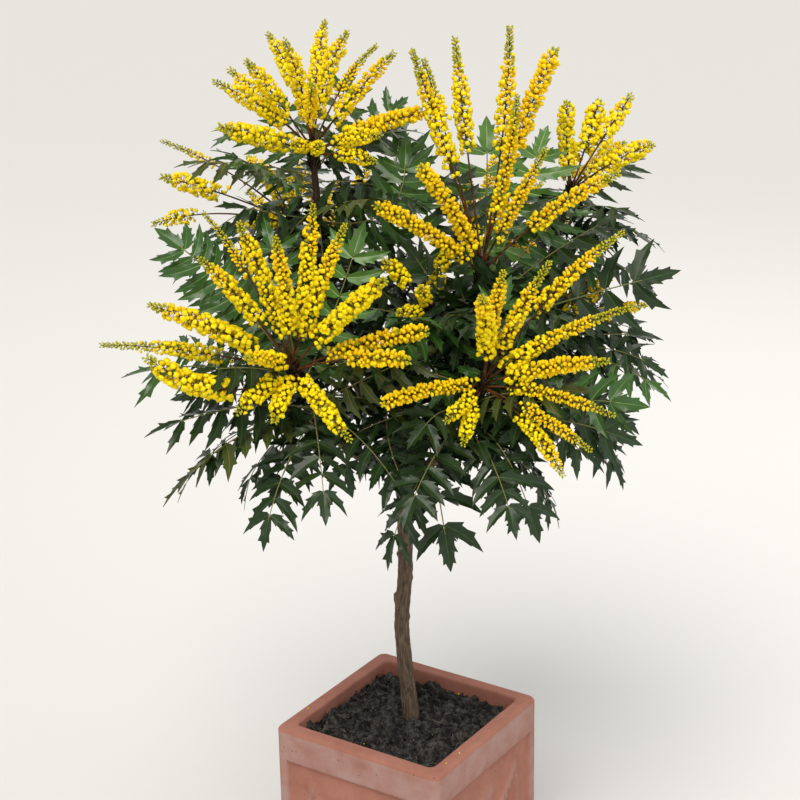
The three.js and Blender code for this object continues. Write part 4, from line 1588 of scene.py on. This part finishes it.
@dataclass(frozen=True)
class LeafletShape:
    """A stiff leaflet along +Y: broad near its foot and drawn out to a point, with a curved bay between
    each two spines of its edge.

    spines is the share of the way up it of each spine, and hand the side of the leaf that it stands on.
    bay and spine are how wide it is there, as shares of the smooth outline, and hook, arch and wave how
    far it bends aside, sags and ripples, as shares of its length. Its outer half is the fuller one.
    """

    spines: tuple[float, ...]
    hand: int
    length: float = 78.0
    width: float = 27.5
    hook: float = 0.26
    arch: float = 0.14
    keel: float = 0.2
    wave: float = 0.028
    rib: float = 0.65
    rib_tip: float = 0.12
    rib_sunk: float = 0.8
    fuller: float = 0.12
    bay: float = 0.82
    bay_shares: tuple[float, float] = (0.2, 0.62)
    spine: float = 1.16
    spine_lean: float = 0.08

    def stations(self) -> tuple[np.ndarray, np.ndarray]:
        """The shares of the way up where the outline bends.

        Returns:
            The shares, and for each the side that its spine leans to, or 0 in a bay.
        """
        shares, lifts = [0.0, 0.05], [0.0, 0.0]
        for number, spine in enumerate(self.spines):
            gap = (*self.spines, 1.0)[number + 1] - spine
            shares += [spine, *(spine + gap * share for share in self.bay_shares)]
            lifts += [1.0 if number % 2 else -1.0, 0.0, 0.0]
        return np.array([*shares, 1.0]), np.array([*lifts, 0.0])

    def draft(self) -> Draft:
        """The leaflet's mesh: five strips, the middle one being its rib.

        Returns:
            The draft.
        """
        share, lift = self.stations()
        swell = share**0.46 * (1 - share) ** 0.95
        swell /= swell.max()
        half = self.width / 2 * swell * np.where(lift == 0, self.bay, self.spine)
        half[0] = 1.0
        rib = np.minimum(self.rib * (1 - share) + self.rib_tip, half)
        bend = -self.hand * self.hook * self.length * share**2
        rows = []
        for side, reach in ((-1, 1.0), (-1, 0.5), (-1, 0.0), (1, 0.0), (1, 0.5), (1, 1.0)):
            x = side * np.maximum(half * reach * (1 + self.fuller * side * self.hand), rib)
            y = share * self.length + np.abs(lift) * self.spine_lean * self.length * reach**2
            z = self.keel * np.abs(x) - self.arch * self.length * share**2
            z += self.wave * self.length * reach * lift * side - self.rib_sunk * (reach == 0)
            rows.append(np.stack([x + bend, y, z], 1))
        steps = len(share)
        faces: list[tuple[int, ...]] = []
        trim: list[bool] = []
        for strip in range(5):
            for step in range(steps - 1):
                a, b = strip * steps + step, (strip + 1) * steps + step
                faces.append((a, b, b + 1, a + 1))
                trim.append(strip == 2)
        return Draft(np.concatenate(rows), faces, marked={"trim": trim})


@dataclass(frozen=True)
class Leaf:
    """A compound leaf: the line of its rib, the way its face looks, its colour, and how far apart and how
    large its leaflets are as shares of the usual."""

    rib: Arch
    guide: np.ndarray
    tint: Tint
    apart: float = 1.0
    leaflet: float = 1.0


@dataclass
class Foliage:
    """Every leaf of the crown, carried out to its spiny leaflets.

    root, rise, droop and size go from a shoot's lowest leaf to its highest, and sweep and rib_width from
    a leaf's foot to its tip. Angles are in degrees. Those named stray are how far chance turns a leaf or
    a leaflet, and uneven and curl the least and most that it makes of a leaflet's size and curl.
    """

    length: float = 320.0
    shortest: float = 0.86
    leaflet_size: tuple[float, float] = (0.74, 1.08)
    bare_share: float = 0.16
    pair_spacing: float = 36.0
    end_leaflet: float = 68.0
    end_shape: tuple[float, float, float] = (1.05, 0.86, 1.0)
    root: tuple[float, float] = (0.2, 0.92)
    rise: tuple[float, float] = (-28.0, 30.0)
    rise_stray: float = 6.0
    compass_stray: float = 0.12
    droop: tuple[float, float] = (48.0, 36.0)
    size: tuple[float, float] = (1.0, 0.82)
    sweep: tuple[float, float] = (98.0, 66.0)
    sweep_stray: float = 4.0
    fold: float = 12.0
    fold_stray: float = 9.0
    twist_stray: float = 0.14
    sink: float = 0.06
    uneven: tuple[float, float] = (0.93, 1.05)
    curl: tuple[float, float] = (0.5, 1.5)
    rib_width: tuple[float, float] = (1.6, 0.7)
    old_and_shaded_share: float = 0.45
    toward_viewer: float = 0.5
    seed: int = 11

    def __post_init__(self) -> None:
        """Starts the random draws and lists the kinds of leaflet."""
        self.random = np.random.default_rng(self.seed)
        self.varieties = [
            {"spines": (0.3, 0.62)},
            {"spines": (0.22, 0.46, 0.7), "width": 23.0, "keel": 0.05, "arch": 0.22},
            {"spines": (0.34, 0.66), "width": 26.5, "hook": 0.34, "wave": 0.045},
            {"spines": (0.26, 0.5, 0.74), "hook": 0.18, "keel": 0.34, "arch": 0.08},
        ]
        self.ribs = Lines()
        self.blades = {tint: Places() for tint in Tint}

    def kit(self) -> Kit:
        """The leaflets of the left hand, those of the right hand and those of the end.
        """
        shapes = [
            LeafletShape(hand=hand, **kind).draft() for hand in (-1, 1, 0) for kind in self.varieties
        ]
        return Kit("leaflet", shapes)

    def spiral(self, shoot: Shoot) -> list[Leaf]:
        """The leaves of a shoot that follow its spiral: each arches out and droops.

        Args:
            shoot: The shoot.

        Returns:
            Its leaves from the lowest up.
        """
        leaves = []
        for index in range(shoot.leaves):
            share = index / (shoot.leaves - 1)
            compass = math.radians(shoot.turn) + GOLDEN * index + self.random.normal(0, self.compass_stray)
            outward = seen((math.cos(compass), math.sin(compass), 0))
            full = self.length * shoot.reach * mix(self.size, share)
            length = full * self.random.uniform(self.shortest, 1.0)
            rise = math.radians(mix(self.rise, share) + self.random.normal(0, self.rise_stray))
            sink = rise - math.radians(mix(self.droop, share))
            if share > shoot.front and outward @ TOWARD > self.toward_viewer:
                continue
            root = shoot.at(mix(self.root, share))
            over = root + (outward * math.cos(rise) + UP * math.sin(rise)) * length * 0.5
            end = over + (outward * math.cos(sink) + UP * math.sin(sink)) * length * 0.5
            # Low leaves all take the deep green: partly the real darker green of older leaves, partly
            # painted shade low in the crown.
            tint = Tint.DEEP if share < self.old_and_shaded_share else shoot.tints[index % len(shoot.tints)]
            leaves.append(Leaf(Arch(root, over, end), UP, tint))
        return leaves

    def standing_out(self, shoot: Shoot) -> list[Leaf]:
        """The leaves of a shoot whose places are given.

        Args:
            shoot: The shoot.

        Returns:
            The leaves.
        """
        return [
            Leaf(
                Arch(shoot.at(leaf.share), seen(leaf.over), seen(leaf.end)),
                pointing(0, leaf.facing),
                leaf.tint,
                leaf.apart,
                leaf.leaflet,
            )
            for leaf in shoot.shown
        ]

    def grow(self, leaf: Leaf) -> None:
        """Adds a leaf's rib and leaflets.

        Args:
            leaf: The leaf.
        """
        length = leaf.rib.length()
        size = float(np.clip(length / self.length, *self.leaflet_size))
        rib_end = 1 - self.end_leaflet * size / length
        shares = np.linspace(0, rib_end + 0.02, 14)
        self.ribs.add(leaf.rib.at(shares), mix(self.rib_width, shares) * size)
        spacing = self.pair_spacing * size * leaf.apart
        pairs = 1 + max(4, round(length * (rib_end - self.bare_share) / spacing))
        at = np.linspace(self.bare_share, rib_end - 0.01, pairs)
        up_leaf = np.linspace(0, 1, pairs)
        heading = leaf.rib.heading(at)
        level, normal = across_of(heading, leaf.guide)
        for hand in (-1, 1):
            sweep = mix(self.sweep, up_leaf) + self.random.normal(0, self.sweep_stray, pairs)
            sweep = np.radians(sweep)[:, None]
            fold = np.radians(self.fold + self.random.normal(0, self.fold_stray, pairs))[:, None]
            aside = level * hand * np.cos(fold) - normal * np.sin(fold)
            out = heading * np.cos(sweep) + aside * np.sin(sweep)
            out = unit(out - UP * self.sink)
            twist = self.random.normal(0, self.twist_stray, (pairs, 1))
            face = normal * np.cos(fold) + level * hand * np.sin(fold) + heading * twist
            scale = size * leaf.leaflet * (0.8 + 0.2 * np.sin(math.pi * (0.12 + 0.76 * up_leaf)))
            scale = scale * self.random.uniform(*self.uneven, pairs)
            first = len(self.varieties) * (0 if hand < 0 else 1)
            kind = self.random.integers(len(self.varieties), size=pairs) + first
            curl = self.random.uniform(*self.curl, pairs)
            sizes = np.stack([scale, scale, scale * curl], 1)
            self.blades[leaf.tint].add(leaf.rib.at(at) + out, out, face, sizes, kind)
        end = leaf.rib.at(rib_end)
        heading = leaf.rib.heading(rib_end)
        kind = self.random.integers(len(self.varieties)) + 2 * len(self.varieties)
        _, normal = across_of(heading, leaf.guide)
        broad = np.array([self.end_shape]) * size * leaf.leaflet
        self.blades[leaf.tint].add(end, heading, normal, broad, kind)

    def build(self, copies: NodeTree, stalks: NodeTree) -> list[Object]:
        """All leaves, with their ribs as one piece and their leaflets as pieces of one colour each.

        Args:
            copies: The tree that sets the leaflets.
            stalks: The tree that makes the ribs.

        Returns:
            The pieces.
        """
        for shoot in SHOOTS.values():
            for leaf in self.standing_out(shoot) + self.spiral(shoot):
                self.grow(leaf)
        kit = self.kit()
        pieces = [show(self.ribs.stalks("leaf_ribs", stalks, 5, LEAF_STALK), "foliage", *LEAF_NODES)]
        chances = {"size_spread": 0.0, "turn_spread": 0.1, "seed": self.seed}
        for tint, places in self.blades.items():
            name = f"leaflets_{tint.name.lower()}"
            made = places.copies(name, kit, copies, *tint.value, **chances)
            pieces += [show(piece, "foliage", *LEAF_NODES) for piece in made]
        kit.put_away()
        return pieces


# Flowers


@dataclass(frozen=True)
class FlowerShape:
    """A flower on its short stalk, standing along +Y: a lobed cup, or a closed bud.

    profile is the height and the radius of each of its rings, and lobe how deep the wide ones are lobed.
    """

    around: int
    profile: tuple[tuple[float, float], ...]
    lobe: float = 0.0
    stalk_radius: float = 0.5
    lobed_from: float = 2.0

    def draft(self) -> Draft:
        """The flower's mesh with its stalk marked as trim.

        Returns:
            The draft.
        """
        turn = -2 * math.pi * np.arange(self.around) / self.around
        rings = []
        for height, radius in self.profile:
            lobe = self.lobe if radius > self.lobed_from else 0.0
            wide = radius * (1 + lobe * np.cos(turn * self.around / 2))
            level = np.full(self.around, height)
            rings.append(np.stack([np.cos(turn) * wide, level, np.sin(turn) * wide], 1))
        cup = np.stack(rings)
        count = self.around * len(rings)
        faces = skin(cup, capped=False)
        tip = self.profile[-1][0] + (-0.6 if self.lobe else 0.5)
        last = count - self.around
        faces += [(last + i, last + (i + 1) % self.around, count) for i in range(self.around)]
        corners = -2 * math.pi * np.arange(3) / 3
        ring = np.stack([np.cos(corners), np.zeros(3), np.sin(corners)], 1) * self.stalk_radius
        stalk = np.stack([ring, ring + (0, self.profile[0][0] + 0.5, 0)])
        points = np.concatenate([cup.reshape(-1, 3), [[0, tip, 0]], stalk.reshape(-1, 3)])
        stalk_faces = [tuple(i + count + 1 for i in face) for face in skin(stalk, capped=False)]
        trim = [False] * len(faces) + [True] * len(stalk_faces)
        return Draft(points, faces + stalk_faces, marked={"trim": trim})


@dataclass
class Blossom:
    """Every flower spike: its stalk, and its flowers in a close spiral from open ones to green buds.

    stalk_width, lean and shrink go from a spike's foot to its tip. Those named stray are how far chance
    moves or turns a thing, and uneven is the least and the most that it makes of a flower's size. hub_foot
    is how far up its hub a level spike starts, and hub_rise how much farther an upright one does.
    """

    spacing: float = 1.0
    place_stray: float = 0.002
    bend_stray: float = 0.035
    hub_foot: float = 0.15
    hub_rise: float = 0.7
    stalk_width: tuple[float, float] = (1.9, 0.7)
    turn_stray: float = 0.1
    lean: tuple[float, float] = (70.0, 40.0)
    open_lean: float = 10.0
    lean_stray: float = 7.0
    way_stray: float = 0.09
    shrink: tuple[float, float] = (0.98, 0.56)
    uneven: tuple[float, float] = (0.84, 1.1)
    open_margin: float = 0.12
    open_run: float = 0.2
    open_stray: float = 0.1
    half_open_from: float = 0.62
    narrow_from: float = 0.8
    green_from: float = 0.42
    green_stray: float = 0.08
    early_green: float = 0.07
    sparse: tuple[float, float] = (0.3, 0.17)
    seed: int = 23

    def __post_init__(self) -> None:
        """Starts the random draws and empties the lists of places."""
        self.random = np.random.default_rng(self.seed)
        self.lines = Lines()
        self.flowers = {stage: Places() for stage in Bloom}
        self.scales = Places()

    def kit(self) -> Kit:
        """An open flower, a half open one, a round bud and a narrow one.
        """
        shapes = [
            FlowerShape(8, ((8.4, 1.6), (11.0, 4.0), (13.4, 3.9)), 0.14),
            FlowerShape(7, ((6.8, 1.4), (10.0, 3.5), (13.0, 2.1)), 0.1),
            FlowerShape(6, ((4.8, 1.1), (8.4, 3.0), (11.8, 1.8))),
            FlowerShape(5, ((4.2, 1.1), (7.0, 2.7), (10.2, 1.5))),
        ]
        return Kit("flower", [shape.draft() for shape in shapes])

    def arch(self, shoot: Shoot, spike: Spike) -> Arch:
        """The middle line of a spike: upright ones leave the hub's top, spreading ones its foot.

        Args:
            shoot: The shoot.
            spike: One of its spikes.

        Returns:
            The curve.
        """
        way = pointing(spike.swing, spike.lean)
        upright = max(0.0, float(way[2]))
        base = seen(shoot.top) + shoot.lift() * shoot.hub * (self.hub_foot + self.hub_rise * upright)
        stray = self.random.normal(0, self.bend_stray, 3) * spike.length
        over = base + way * spike.length * 0.5 + UP * spike.length * spike.bow * 2 + stray
        return Arch(base, over, base + way * spike.length)

    def spiral(self, heading: np.ndarray) -> np.ndarray:
        """The directions, square to each heading, in which a spiral of flowers stands out.

        Args:
            heading: The spike's direction at each flower.

        Returns:
            One direction for each flower.
        """
        count = len(heading)
        turn = GOLDEN * np.arange(count) + self.random.uniform(0, 6.28)
        turn = turn + self.random.normal(0, self.turn_stray, count)
        level, rise = across_of(heading, UP if abs(heading[0][2]) < 0.9 else TOWARD)
        return level * np.cos(turn)[:, None] + rise * np.sin(turn)[:, None]

    def ways(
        self, heading: np.ndarray, radial: np.ndarray, young: np.ndarray, openness: np.ndarray
    ) -> np.ndarray:
        """The directions that flowers point in: open ones lean out the farthest, and young ones the least.

        Args:
            heading: The stalk's direction at each flower.
            radial: The direction in which each stands out of it.
            young: How young each is, from 0 to 1.
            openness: How open each is, from 0 to 1.

        Returns:
            A unit direction for each.
        """
        stray = self.random.normal(0, self.lean_stray, len(young))
        lean = np.radians(mix(self.lean, young) + self.open_lean * openness + stray)[:, None]
        out = heading * np.cos(lean) + radial * np.sin(lean)
        return unit(out + self.random.normal(0, self.way_stray, out.shape))

    def stages(self, young: np.ndarray, openness: np.ndarray) -> tuple[np.ndarray, np.ndarray]:
        """The stages and shapes of a spike's flowers.

        Args:
            young: How near the tip each flower stands, from 0 to 1.
            openness: How far open the spike is there, from 0 to 1.
        """
        count = len(young)
        green = young + self.random.normal(0, self.green_stray, count) > self.green_from
        green |= self.random.random(count) < self.early_green
        stage = np.select([green, openness > 0.5], [2, 0], 1)
        half_open = (self.random.random(count) > self.half_open_from).astype(int)
        round_bud = (stage == 1) & (young < self.narrow_from)
        return stage, np.select([stage == 0, round_bud], [half_open, 2], 3)

    def grow(self, arch: Arch, spike: Spike) -> None:
        """Adds a spike's stalk and flowers, sparse ones at first.

        Args:
            arch: The spike's middle line.
            spike: The spike.
        """
        shares = np.linspace(0, 0.985, 16)
        self.lines.add(arch.at(shares), mix(self.stalk_width, shares))
        count = int(arch.length() * (1 - spike.bare) / self.spacing)
        up = spike.bare + (1 - spike.bare) * (np.arange(count) + 0.5) / count
        up = np.clip(up + self.random.normal(0, self.place_stray, count), 0, 1)
        young = np.clip((up - spike.taper) / (1 - spike.taper), 0, 1)
        heading = arch.heading(up)
        radial = self.spiral(heading)
        ahead = spike.open + self.open_margin - up + self.random.normal(0, self.open_stray, count)
        openness = np.clip(ahead / self.open_run, 0, 1)
        out = self.ways(heading, radial, young, openness)
        size = spike.wide * mix(self.shrink, young) * self.random.uniform(*self.uneven, count)
        stage, shape = self.stages(young, openness)
        place = arch.at(up) + radial * 0.8
        least, run = self.sparse
        kept = self.random.random(count) < least + (up - spike.bare) / run
        for number, bloom in enumerate(Bloom):
            own = (stage == number) & kept
            if own.any():
                self.flowers[bloom].add(place[own], out[own], heading[own], size[own], shape[own])

    def wrap(self, shoot: Shoot) -> None:
        """Adds the dark bud scales that clothe a shoot's hub.

        Args:
            shoot: The shoot.
        """
        count = int(26 + shoot.hub * 0.5)
        share = np.linspace(-0.8, 0.9, count)
        turn = GOLDEN * np.arange(count)
        level, rise = across_of(shoot.lift()[None, :], TOWARD)
        radial = level * np.cos(turn)[:, None] + rise * np.sin(turn)[:, None]
        middle = seen(shoot.top) + shoot.lift() * (share * max(shoot.hub, 24))[:, None]
        along = unit(shoot.lift() + radial * 0.55)
        self.scales.add(middle + radial * 4.4, along, radial, self.random.uniform(0.8, 1.3, count), 0)

    def build(self, copies: NodeTree, stalks: NodeTree) -> list[Object]:
        """All spikes, with the stalks, each stage of flower and the bud scales as pieces.

        Args:
            copies: The tree that sets the flowers.
            stalks: The tree that makes the stalks.

        Returns:
            The pieces.
        """
        for shoot in SHOOTS.values():
            self.wrap(shoot)
            for spike in shoot.spikes:
                self.grow(self.arch(shoot, spike), spike)
        pieces = [show(self.lines.stalks("spike_stalks", stalks, 5, RACHIS), "blossom", *FLOWER_NODES)]
        kit = self.kit()
        chances = {"size_spread": 0.06, "turn_spread": 3.0, "seed": self.seed}
        for bloom, places in self.flowers.items():
            name = f"flowers_{bloom.name.lower()}"
            made = places.copies(name, kit, copies, bloom.value, PEDICEL, **chances)
            pieces += [show(piece, "blossom", *FLOWER_NODES) for piece in made]
        kit.put_away()
        husks = Kit("husk", [LeafletShape((0.4,), 0, length=14.0, width=8.0, wave=0.0, rib=0.4).draft()])
        made = self.scales.copies("bud_scales", husks, copies, HUSK, PEDICEL, **chances)
        pieces += [show(piece, "bark") for piece in made]
        husks.put_away()
        return pieces


@dataclass
class Litter:
    """Fallen flowers on the compost and the rim, and pale fibres on the compost."""

    half: float = 128.0
    rim_half: float = 147.0
    top: float = 291.0
    rim_top: float = 310.6
    flowers: int = 9
    flower_size: tuple[float, float] = (0.35, 0.6)
    fibres: int = 18
    fibre_length: tuple[float, float] = (6.0, 22.0)
    fibre_width: tuple[float, float] = (0.55, 0.3)
    fibre_bend: float = 0.3
    seed: int = 31

    def __post_init__(self) -> None:
        """Starts the random draws."""
        self.random = np.random.default_rng(self.seed)

    def fallen(self) -> Places:
        """The places of the flowers, of which every third lies on the rim.

        Returns:
            The places.
        """
        flat = self.random.uniform(-self.half, self.half, (self.flowers, 2))
        height = np.full(self.flowers, self.top)
        edge = np.arange(self.flowers) % 3 == 0
        flat[edge, 0] = self.rim_half * np.sign(flat[edge, 0])
        height[edge] = self.rim_top
        lying = unit(self.random.normal(0, 1, (self.flowers, 3)) * (1, 1, 0.1))
        size = self.random.uniform(*self.flower_size, self.flowers)
        places = Places()
        places.add(np.column_stack([flat, height]), lying, UP, size, 0)
        return places

    def straw(self) -> Lines:
        """The lines of the fibres.

        Returns:
            The lines.
        """
        lines = Lines()
        shares = np.linspace(0, 1, 6)
        for _ in range(self.fibres):
            flat = self.random.uniform(-self.half, self.half, 2)
            start = np.array((*flat, self.top + self.random.uniform(-1, 3)))
            way = unit(self.random.normal(0, 1, 3) * (1, 1, 0.12))
            length = self.random.uniform(*self.fibre_length)
            bend = self.random.uniform(-self.fibre_bend, self.fibre_bend)
            side = unit(np.cross(way, UP)) * length * bend
            arch = Arch(start, start + way * length / 2 + side, start + way * length)
            lines.add(arch.at(shares), mix(self.fibre_width, shares))
        return lines

    def build(self, copies: NodeTree, stalks: NodeTree) -> list[Object]:
        """The fallen flowers and the fibres.

        Args:
            copies: The tree that sets the flowers.
            stalks: The tree that makes the fibres.

        Returns:
            The pieces.
        """
        petals = Kit("fallen", [FlowerShape(8, ((0.0, 0.8), (2.4, 3.2), (4.4, 3.6)), 0.15, 0.5).draft()])
        chances = {"size_spread": 0.1, "turn_spread": 3.0, "seed": self.seed}
        fallen = self.fallen().copies("fallen_flowers", petals, copies, OPEN_PETAL, PEDICEL, **chances)
        petals.put_away()
        straw = show(self.straw().stalks("peat_fibres", stalks, 4, STRAW), "compost")
        return [show(piece, "blossom") for piece in fallen] + [straw]


# The studio


@dataclass(frozen=True)
class Lamp:
    """A soft light: where it shines from as seen by the viewer, in metres, and its strength.

    A lamp with a size is a square panel, in metres and watts. One without is a far softbox as wide as its
    spread in degrees, and lights the whole floor alike.
    """

    name: str
    place: Place
    strength: float
    size: float = 0.0
    spread: float = 0.0
    colour: str = "#ffffff"


@dataclass
class Studio:
    """A plain pale floor, soft lights and the camera that looks down at the plant."""

    aim: Place = (0.0, 0.0, 0.95)
    floor_half: float = 60.0
    floor_colour: str = "#dddcda"
    floor_roughness: float = 0.9
    sky: str = "#f3f3f0"
    sky_strength: float = 0.62
    lens: float = 90.0
    eye: Place = (-0.0032, 2.979, 1.964)
    pitch: float = 20.2
    roll: float = -1.07
    lamps: tuple[Lamp, ...] = (
        Lamp("key", (-0.8, 2.7, 5.2), 2.15, spread=38.0, colour="#fffaf4"),
        Lamp("fill", (3.0, 1.8, 1.9), 22.0, size=2.4, colour="#eef4ff"),
        Lamp("back", (1.2, -2.6, 3.0), 30.0, size=2.0),
    )

    def build(self) -> None:
        """Makes the floor, the lights and the camera."""
        self.floor()
        world = bpy.data.worlds.new("studio")
        world.use_nodes = True
        sky = world.node_tree.nodes["Background"]
        feed(world.node_tree, sky, {"Color": linear(self.sky), "Strength": self.sky_strength})
        bpy.context.scene.world = world
        bpy.context.scene.view_settings.view_transform = "Standard"
        for lamp in self.lamps:
            self.light(lamp)
        self.camera()

    def floor(self) -> None:
        """Adds the floor, which is no part of the plant."""
        half = self.floor_half / MM
        corners = np.array([(-half, -half, 0), (half, -half, 0), (half, half, 0), (-half, half, 0)], float)
        floor = Draft(corners, [(0, 1, 2, 3)]).make("floor")
        paint = bpy.data.materials.new("pale_floor")
        paint.use_nodes = True
        shader = paint.node_tree.nodes["Principled BSDF"]
        look = {"Base Color": linear(self.floor_colour), "Roughness": self.floor_roughness}
        feed(paint.node_tree, shader, look)
        floor.data.materials.append(paint)
        bpy.context.scene.collection.objects.link(floor)

    def light(self, lamp: Lamp) -> None:
        """Adds one lamp, turned to the plant.

        Args:
            lamp: The lamp.
        """
        data = bpy.data.lights.new(lamp.name, "AREA" if lamp.size else "SUN")
        if lamp.size:
            data.size = lamp.size
        else:
            data.angle = math.radians(lamp.spread)
        data.energy = lamp.strength
        data.color = linear(lamp.colour)[:3]
        stand = bpy.data.objects.new(lamp.name, data)
        place = seen(lamp.place)
        stand.location = place
        stand.rotation_euler = Vector(seen(self.aim) - place).to_track_quat("-Z", "Y").to_euler()
        bpy.context.scene.collection.objects.link(stand)

    def camera(self) -> None:
        """Adds the camera, pitched down and rolled a little."""
        data = bpy.data.cameras.new("viewer")
        data.lens = self.lens
        camera = bpy.data.objects.new("viewer", data)
        pitch, roll = math.radians(self.pitch), math.radians(self.roll)
        ahead = -TOWARD * math.cos(pitch) - UP * math.sin(pitch)
        level_up = np.cross(RIGHT, ahead)
        right = RIGHT * math.cos(roll) + level_up * math.sin(roll)
        up = level_up * math.cos(roll) - RIGHT * math.sin(roll)
        turn = Matrix([right, up, -ahead]).transposed()
        camera.matrix_world = Matrix.Translation(seen(self.eye)) @ turn.to_4x4()
        bpy.context.scene.collection.objects.link(camera)
        bpy.context.scene.camera = camera


def main() -> None:
    """Builds every piece round the frame."""
    logging.basicConfig(level=logging.INFO, format="%(name)s: %(message)s")
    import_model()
    Studio().build()
    Planter().build()
    Compost().build()
    Framework().build()
    copies, stalks = copies_tree(), stalks_tree()
    Foliage().build(copies, stalks)
    Blossom().build(copies, stalks)
    Litter().build(copies, stalks)


if __name__ == "__main__":
    main()
